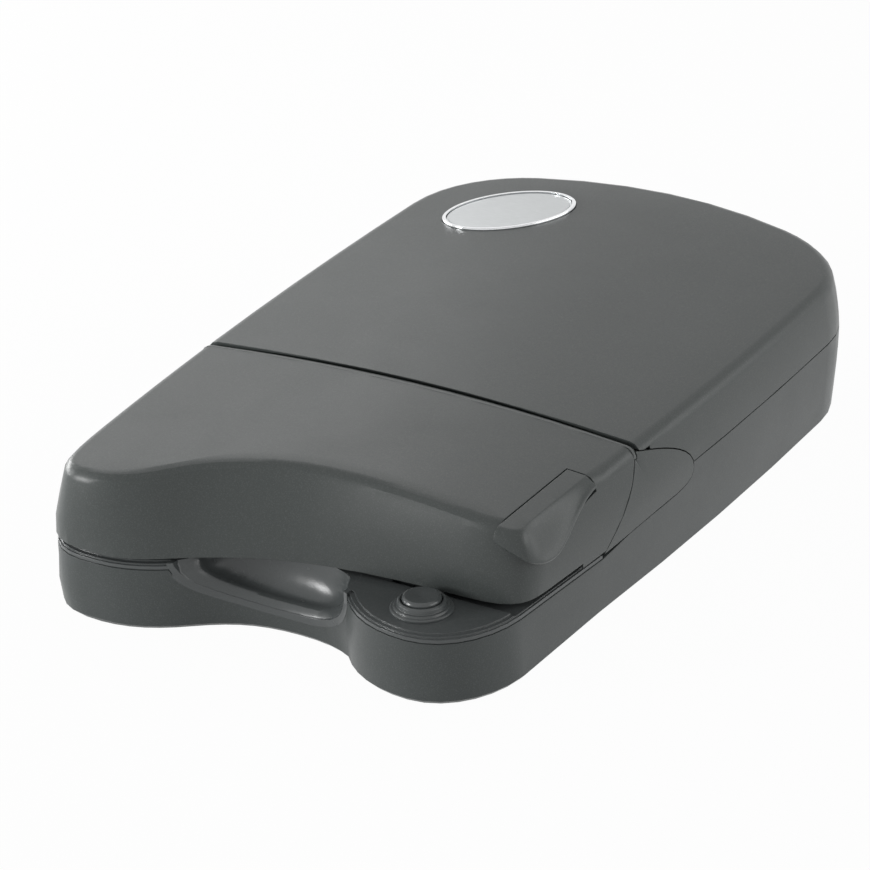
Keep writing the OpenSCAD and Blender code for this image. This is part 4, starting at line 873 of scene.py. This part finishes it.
@dataclass
class FilmDeck:
    """Deck with the film track, the gate's glass, the finger dish and the scan button.

    The dish is a shallow bowl with a rolled front lip, laid over the deck's scooped edge.
    """

    crease: float = 24.0
    steps: int = 56
    level: float = 23.66
    mouth: tuple[DishRing, ...] = (
        DishRing(35.3, 25.3, 17.4, -0.05),
        DishRing(34.6, 24.7, 16.8, -0.08),
        DishRing(33.2, 23.8, 15.9, 0.10),
        DishRing(31.6, 22.9, 14.6, 0.75),
        DishRing(30.0, 22.2, 13.3, 1.7),
        DishRing(29.3, 21.8, 12.9, 2.5),
        DishRing(28.9, 21.5, 12.7, 3.1),
    )
    bowl_rear: float = -107.0
    bowl_steps: int = 18
    bowl_tip: float = 0.02
    flange: float = 13.0
    deck_inset: float = 2.6
    rim_low: float = 18.5
    right_power: float = 2 / 3

    def ring(self, spec: DishRing, skirt: LowerSkirt) -> list[Vector]:
        """Lays out one ring of the dish's mouth, from its left end round the bottom.

        Args:
            spec: The ring's sizes.
            skirt: Knows where the front wall is.

        Returns:
            The ring's points, in millimetres.
        """
        points = []
        for k in range(self.steps + 1):
            turn = math.pi * k / self.steps
            if turn < math.pi / 2:
                x = -spec.left * math.cos(turn)
                z = self.level - spec.depth * math.sin(turn)
            else:
                x = spec.right * math.sin(turn - math.pi / 2) ** self.right_power
                z = self.level - spec.depth * math.cos(turn - math.pi / 2) ** self.right_power
            y = skirt.wall_y(x * MM, z * MM) / MM + spec.back
            y += self.deck_inset * ease(z, self.rim_low, self.level)
            points.append(Vector((x, y, z)))
        return points

    def dish(self, work: bmesh.types.BMesh, skirt: LowerSkirt) -> None:
        """Adds the dish with its lip and its flange under the deck's edge.

        Args:
            work: The deck's mesh.
            skirt: Knows where the front wall is.
        """
        rings = [self.ring(spec, skirt) for spec in self.mouth]
        edge = rings[-1]
        for k in range(1, self.bowl_steps + 1):
            turn = math.pi / 2 * k / self.bowl_steps
            along, size = math.sin(turn), max(self.bowl_tip, math.cos(turn))
            rings.append([Vector((p.x * size, p.y + (self.bowl_rear - p.y) * along,
                                  self.level - (self.level - p.z) * size)) for p in edge])
        grid_faces(work, [[p * MM for p in ring] for ring in rings], closed=False)
        tips = []
        for side, end in ((-1.0, 0), (1.0, -1)):
            inner = [ring[end] for ring in rings[2:]]
            outer = [Vector((p.x + side * self.flange, p.y + self.flange * k / len(inner), p.z))
                     for k, p in enumerate(inner)]
            pair = [[p * MM for p in inner], [p * MM for p in outer]]
            grid_faces(work, pair if side < 0 else pair[::-1], closed=False)
            tips.append((pair[0][-1], pair[1][-1]))
        grid_faces(work, [[tip[0] for tip in tips], [tip[1] for tip in tips]], closed=False)

    def build(self, shop: Workshop) -> None:
        """Builds the deck's skin and dresses the button and the glass.

        Args:
            shop: The frame and its finishes.
        """
        work, skirt = shop.welded("front_deck"), LowerSkirt(shop.frame)
        self.dish(work, skirt)
        shop.move(work, skirt, CornerBulge())
        shop.skin(work, "front_deck", "housing", DECK_PAINTED_LIGHTER, self.crease)
        shop.dress(DECK_PAINTED_LIGHTER, "button_bezel", "scan_button")
        shop.dress(CLEAR, "gate_glass")
        shop.dress(BLACK, "button_switch")


@dataclass(frozen=True)
class OpenSeam:
    """How the cover's lower edge is eased off, so that the seam to the base shows as a fine line."""

    edge_z: float = 31.1 * MM
    band: float = 0.15 * MM
    lift: float = 0.25 * MM

    def __call__(self, point: Vector) -> Vector:
        """Lifts a point of the lower edge, given and returned in metres."""
        near = abs(point.z - self.edge_z) < self.band
        return Vector((point.x, point.y, point.z + (self.lift if near else 0.0)))


@dataclass
class TopCover:
    """Rear cover with its hinge caps and the oval badge."""

    crease: float = 30.0

    def build(self, shop: Workshop) -> None:
        """Builds the cover's and the caps' skins and dresses the badge.

        Args:
            shop: The frame and its finishes.
        """
        shop.smooth_piece("upper_cover", "housing", COVER, self.crease, OpenSeam())
        for name in ("hinge_cap_left", "hinge_cap_right"):
            shop.smooth_piece(name, "housing", COVER, self.crease)
        shop.dress(BADGE, "badge_plate")
        shop.dress(TRIM, "badge_ring")


@dataclass
class LidLever:
    """Catch at the lid's right front corner: a flat strip, a slanted face and a rounded lip.

    Its sizes are in millimetres. Sections run from the straight inner edge to the lip's edge.
    """

    inner_x: float = 70.5
    strip: float = 6.5
    thick: float = 1.7
    pivot_y: float = -99.5
    front_y: float = -108.5
    edge_r: float = 4.2
    top_mid: float = 53.9
    crown: float = 4.1
    half_width: float = 84.5
    lip: tuple[tuple[float, float, float], ...] = (
        (80.4, -62.5, 48.4), (81.0, -75.5, 47.2), (82.9, -82.5, 38.8), (82.9, -91.5, 38.0),
        (82.9, -96.5, 37.9), (82.3, -101.7, 39.6), (80.9, -104.3, 41.2),
        (79.1, -106.5, 43.0), (74.6, -108.0, 45.6), (70.5, -107.9, 47.0),
    )
    spans: tuple[int, ...] = (16, 8, 12)
    front_fade: tuple[float, float] = (1.0, 12.0)
    flat_share: float = 0.9
    flat_least: float = 0.3
    flat_power: float = 3.0
    least_way: float = 0.02
    corner_slip: float = 1.6
    side_steep: tuple[float, float] = (0.24, 0.06)
    front_steep: tuple[float, float] = (0.52, 0.0)
    side_flare: tuple[float, float] = (0.72, 0.84)
    front_flare: tuple[float, float] = (0.98, 0.36)
    face_steps: int = 12
    nose_steps: int = 5
    hook: tuple[float, float] = (1.8, 7.0)
    hook_foot: float = 19.7
    hook_over_pin: float = 1.2
    hook_inside: float = 1.1
    hook_edge: float = 0.25
    pin_to_hook: float = 9.5
    lug: tuple[float, float] = (1.8, 2.8)
    lug_reach: float = 5.4
    lug_sides: int = 32
    crease: float = 32.0

    def top(self, x: float) -> float:
        """Gives the height of the lid's crowned top at an X."""
        return self.top_mid - self.crown * (x / self.half_width) ** 2

    def edge(self) -> list[Vector]:
        """Samples the lip's edge from the rear round the corner to the inner edge.

        Returns:
            Its points.
        """
        knots = [Vector(p) for p in self.lip]
        points = [knots[0]]
        for k, count in enumerate(self.spans):
            part = knots[3 * k:3 * k + 4]
            points += [bend(*part, (n + 1) / count) for n in range(count)]
        return points

    def section(self, lip: Vector, pivot: Vector) -> list[Vector]:
        """Draws one closed section.

        Args:
            lip: The section's outer end.
            pivot: Its start on the inner edge.

        Returns:
            Its points, over the face, round the lip and back below.
        """
        way = Vector((lip.x - pivot.x, lip.y - pivot.y, 0.0))
        run = way.length
        way.normalize()
        low, high = (self.front_y + rise for rise in self.front_fade)
        forward = 1.0 - ease(lip.y, low, high)
        across = self.strip / max(way.x, self.least_way)
        straight = max(self.flat_least, pivot.y - self.front_y - self.edge_r)
        ahead = straight / max(-way.y, self.least_way)
        rounded = (across ** -self.flat_power + ahead ** -self.flat_power) ** (-1.0 / self.flat_power)
        flat = min(rounded, self.flat_share * run)
        start, halfway = pivot + way * flat, pivot + way * flat * 0.5
        height = self.top(start.x)
        steep = Vector(self.side_steep).lerp(Vector(self.front_steep), forward)
        flare = Vector(self.side_flare).lerp(Vector(self.front_flare), forward)
        line = [Vector((0.0, self.top(pivot.x))), Vector((flat * 0.5, self.top(halfway.x)))]
        for k in range(self.face_steps + 1):
            q = bend(Vector((0.0, 0.0)), steep, flare, Vector((1.0, 1.0)), k / self.face_steps)
            line.append(Vector((flat + q.x * (run - flat), height - q.y * (height - lip.z))))
        last = len(line) - 1
        slope = [(line[min(k + 1, last)] - line[max(k - 1, 0)]).normalized() for k in range(last + 1)]
        below = [p + Vector((t.y, -t.x)) * self.thick for p, t in zip(line, slope)]
        below[0].x = 0.0
        middle, half = (line[-1] + below[-1]) / 2, (line[-1] - below[-1]) / 2
        bulge = slope[-1] * half.length
        nose = []
        for k in range(1, self.nose_steps):
            turn = math.pi * k / self.nose_steps
            nose.append(middle + half * math.cos(turn) + bulge * math.sin(turn))
        return [Vector((pivot.x + way.x * q.x, pivot.y + way.y * q.x, q.y))
                for q in line + nose + below[::-1]]

    def body(self, work: bmesh.types.BMesh) -> None:
        """Adds the strip, the face and the lip.

        Args:
            work: The lever's mesh.
        """
        points = self.edge()
        turning = [k for k, p in enumerate(points) if p.y < self.pivot_y]
        rings = []
        for k, lip in enumerate(points):
            slip = self.corner_slip * (k - turning[0]) / len(turning) if k in turning else 0.0
            pivot = Vector((self.inner_x, max(lip.y, self.pivot_y) - slip, 0.0))
            rings.append(self.section(lip, pivot))
        grid_faces(work, [[p * MM for p in ring] for ring in rings], closed=True)
        work.verts.ensure_lookup_table()
        count = len(rings[0])
        for first, flip in ((0, True), ((len(rings) - 1) * count, False)):
            loop = [work.verts[first + k] for k in range(count)]
            work.faces.new(loop[::-1] if flip else loop)

    def fittings(self, work: bmesh.types.BMesh) -> None:
        """Adds the hook that holds the deck and the two lugs on the pin.

        Args:
            work: The lever's mesh.
        """
        low, high = (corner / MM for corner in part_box("lever_pin"))
        pin = Vector(((low.x + high.x) / 2, low.y, (low.z + high.z) / 2))
        hook_y = pin.y + self.pin_to_hook
        hook_top = pin.z + self.hook_over_pin
        wide, long = self.hook
        tall = hook_top - self.hook_foot
        place = Vector((pin.x - self.hook_inside + wide / 2, hook_y, self.hook_foot + tall / 2))
        size = Matrix.Diagonal((wide * MM, long * MM, tall * MM, 1.0))
        made = bmesh.ops.create_cube(work, size=1.0, matrix=Matrix.Translation(place * MM) @ size)
        edges = {edge for vertex in made["verts"] for edge in vertex.link_edges}
        bmesh.ops.bevel(work, geom=list(edges), offset=self.hook_edge * MM, segments=2, affect="EDGES")
        lie = Matrix.Rotation(math.pi / 2, 4, "X")
        radius, depth = (value * MM for value in self.lug)
        for side in (-1.0, 1.0):
            spot = Vector((pin.x, hook_y + side * self.lug_reach, pin.z))
            bmesh.ops.create_cone(work, cap_ends=True, segments=self.lug_sides, radius1=radius,
                                  radius2=radius, depth=depth,
                                  matrix=Matrix.Translation(spot * MM) @ lie)

    def build(self, shop: Workshop) -> None:
        """Builds the lever and puts it in the CAD lever's place.

        Args:
            shop: The frame and its finishes.
        """
        work = bmesh.new()
        self.body(work)
        self.fittings(work)
        bmesh.ops.recalc_face_normals(work, faces=work.faces)
        shop.skin(work, "lid_lever", "lever", COVER, self.crease)


@dataclass
class FrontLid:
    """Hinged lid with its lamp box, hinge and lever."""

    crease: float = 30.0
    lever: LidLever = field(default_factory=LidLever)

    def build(self, shop: Workshop) -> None:
        """Builds the lid's skins and its lever and dresses what the lid carries.

        Args:
            shop: The frame and its finishes.
        """
        shop.smooth_piece("lid_shell", "lid", COVER, self.crease, CornerBulge())
        shop.smooth_piece("lid_underside", "lid", INNER, self.crease, CornerBulge())
        self.lever.build(shop)
        shop.dress(COVER, "lid_barrel")
        shop.dress(WHITE, "lid_diffuser", "lamp_reflector")
        shop.dress(CLEAR, "lamp_tube")
        shop.dress(STEEL, "lever_pin", "lever_spring", "hinge_pins")
        shop.dress(LUG, "hinge_brackets")


@dataclass
class ScanSled:
    """Sled with its optics on two guide rods."""

    def build(self, shop: Workshop) -> None:
        """Dresses the sled, its optics and its rods.

        Args:
            shop: The frame and its finishes.
        """
        shop.dress(INNER, "optical_sled", "lens_barrel")
        shop.dress(BRASS, "sled_bushes")
        shop.dress(MIRROR, "sled_mirror")
        shop.dress(CLEAR, "lens_glass")
        shop.dress(BOARD, "sensor_board")
        shop.dress(STEEL, "guide_rods")
        shop.dress(LUG, "rod_holders")


@dataclass
class SledDrive:
    """Stepper motor, pinion and stepped gear that move the sled's rack."""

    def build(self, shop: Workshop) -> None:
        """Dresses the drive.

        Args:
            shop: The frame and its finishes.
        """
        shop.dress(GEAR, "drive_wheel")
        shop.dress(BRASS, "motor_pinion")
        shop.dress(STEEL, "wheel_axle", "stepper_motor")
        shop.dress(LUG, "motor_bracket")


@dataclass
class RearPorts:
    """Main board with the sockets and the power switch in the rear recess."""

    def build(self, shop: Workshop) -> None:
        """Dresses the board, the panel and what it carries.

        Args:
            shop: The frame and its finishes.
        """
        shop.dress(BOARD, "main_board")
        shop.dress(DECK_PAINTED_LIGHTER, "port_panel")
        shop.dress(STEEL, "usb_socket")
        shop.dress(BLACK, "power_socket", "switch_frame", "power_rocker")


@dataclass(frozen=True)
class SoftBox:
    """Soft lamp that looks at the object: its place in degrees, its size in metres and its watts."""

    name: str
    azimuth: float
    elevation: float
    reach: float
    size: tuple[float, float]
    power: float


@dataclass
class Studio:
    """White floor and room, soft lamps and the camera at the photograph's angle."""

    target: Vector = field(default_factory=lambda: Vector((1.2, -28.06, 31.27)) * MM)
    azimuth: float = 31.85
    elevation: float = 26.73
    roll: float = -1.77
    distance: float = 1.5
    focal_px: float = 4613.72
    sensor: float = 36.0
    floor_side: float = 30.0
    floor_tone: Colour = (0.82, 0.82, 0.82)
    floor_glow: float = 0.97
    room_light: float = 0.33
    clip: tuple[float, float] = (0.05, 60.0)
    lamps: tuple[SoftBox, ...] = (
        SoftBox("Rear soft box", 228.0, 34.0, 0.45, (0.25, 0.2), 0.12),
        SoftBox("Right soft box", 110.0, 16.0, 1.5, (1.8, 0.75), 7.0),
        SoftBox("Left soft box", -93.0, 8.0, 0.7, (0.6, 0.2), 3.2),
        SoftBox("Front soft box", -42.0, 10.0, 1.2, (0.4, 0.25), 6.0),
    )

    def back(self, azimuth: float, elevation: float) -> Vector:
        """Gives the direction from the object to a place round it, in degrees."""
        a, e = math.radians(azimuth), math.radians(elevation)
        return Vector((math.sin(a) * math.cos(e), -math.cos(a) * math.cos(e), math.sin(e)))

    def camera(self) -> None:
        """Makes the scene's camera."""
        a, r = math.radians(self.azimuth), math.radians(self.roll)
        back = self.back(self.azimuth, self.elevation)
        level = Vector((math.cos(a), math.sin(a), 0.0))
        upright = back.cross(level)
        right = level * math.cos(r) + upright * math.sin(r)
        up = upright * math.cos(r) - level * math.sin(r)
        data = bpy.data.cameras.new("Photo camera")
        data.sensor_width = self.sensor
        data.lens = self.focal_px * self.sensor / PHOTO_SIDE
        data.clip_start, data.clip_end = self.clip
        camera = bpy.data.objects.new("Photo camera", data)
        bpy.context.scene.collection.objects.link(camera)
        turn = Matrix((right, up, back)).transposed().to_4x4()
        camera.matrix_world = Matrix.Translation(self.target + back * self.distance) @ turn
        bpy.context.scene.camera = camera

    def lamp(self, box: SoftBox) -> None:
        """Hangs one soft lamp that looks at the object.

        Args:
            box: The lamp.
        """
        data = bpy.data.lights.new(box.name, "AREA")
        data.shape = "RECTANGLE"
        data.size, data.size_y = box.size
        data.energy = box.power
        lamp = bpy.data.objects.new(box.name, data)
        bpy.context.scene.collection.objects.link(lamp)
        away = self.back(box.azimuth, box.elevation)
        lamp.location = self.target + away * box.reach
        lamp.rotation_mode = "QUATERNION"
        lamp.rotation_quaternion = away.to_track_quat("Z", "Y")

    def floor(self) -> None:
        """Lays the white floor, which keeps the object's shadow."""
        half = self.floor_side / 2
        mesh = bpy.data.meshes.new("Floor")
        corner_points = [(-half, -half, 0), (half, -half, 0), (half, half, 0), (-half, half, 0)]
        mesh.from_pydata(corner_points, [], [(0, 1, 2, 3)])
        material = bpy.data.materials.new("Floor white")
        material.use_nodes = True
        material.node_tree.nodes.clear()
        link = Link(material.node_tree)
        seen = link.seen_directly()
        matt = link.add("ShaderNodeBsdfDiffuse", in_Color=(*self.floor_tone, 1.0))
        glow = link.add("ShaderNodeEmission", in_Color=WHITE_LIGHT, in_Strength=1.0)
        blend = link.add("ShaderNodeMixShader")
        link.join(link.maths("MULTIPLY", seen, self.floor_glow), blend.inputs[0])
        link.join(matt.outputs[0], blend.inputs[1])
        link.join(glow.outputs[0], blend.inputs[2])
        link.join(blend.outputs[0], link.add("ShaderNodeOutputMaterial").inputs["Surface"])
        mesh.materials.append(material)
        floor = bpy.data.objects.new("Floor", mesh)
        bpy.context.scene.collection.objects.link(floor)

    def sky(self) -> None:
        """Sets the white room: full white to the camera, softer on the object."""
        world = bpy.data.worlds.new("White room")
        world.use_nodes = True
        world.node_tree.nodes.clear()
        link = Link(world.node_tree)
        seen = link.seen_directly()
        strength = link.add("ShaderNodeMapRange", in_To_Min=self.room_light, in_To_Max=1.0)
        link.join(seen, strength.inputs["Value"])
        room = link.add("ShaderNodeBackground", in_Color=WHITE_LIGHT)
        link.join(strength.outputs["Result"], room.inputs["Strength"])
        link.join(room.outputs[0], link.add("ShaderNodeOutputWorld").inputs["Surface"])
        bpy.context.scene.world = world

    def build(self) -> None:
        """Sets up the floor, the room, the lamps and the camera."""
        bpy.context.scene.view_settings.view_transform = "Standard"
        self.floor()
        self.sky()
        for box in self.lamps:
            self.lamp(box)
        self.camera()
        LOG.info("studio: floor, room, lamps and camera")


def main() -> None:
    logging.basicConfig(level=logging.INFO, format="%(name)s %(message)s")
    shop = Workshop()
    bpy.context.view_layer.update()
    Studio().build()
    units = (LowerHousing(), FilmDeck(), TopCover(), FrontLid(), ScanSled(), SledDrive(), RearPorts())
    for unit in units:
        unit.build(shop)
        LOG.info("%s is done", type(unit).__name__)
    bpy.context.view_layer.update()


if __name__ == "__main__":
    main()
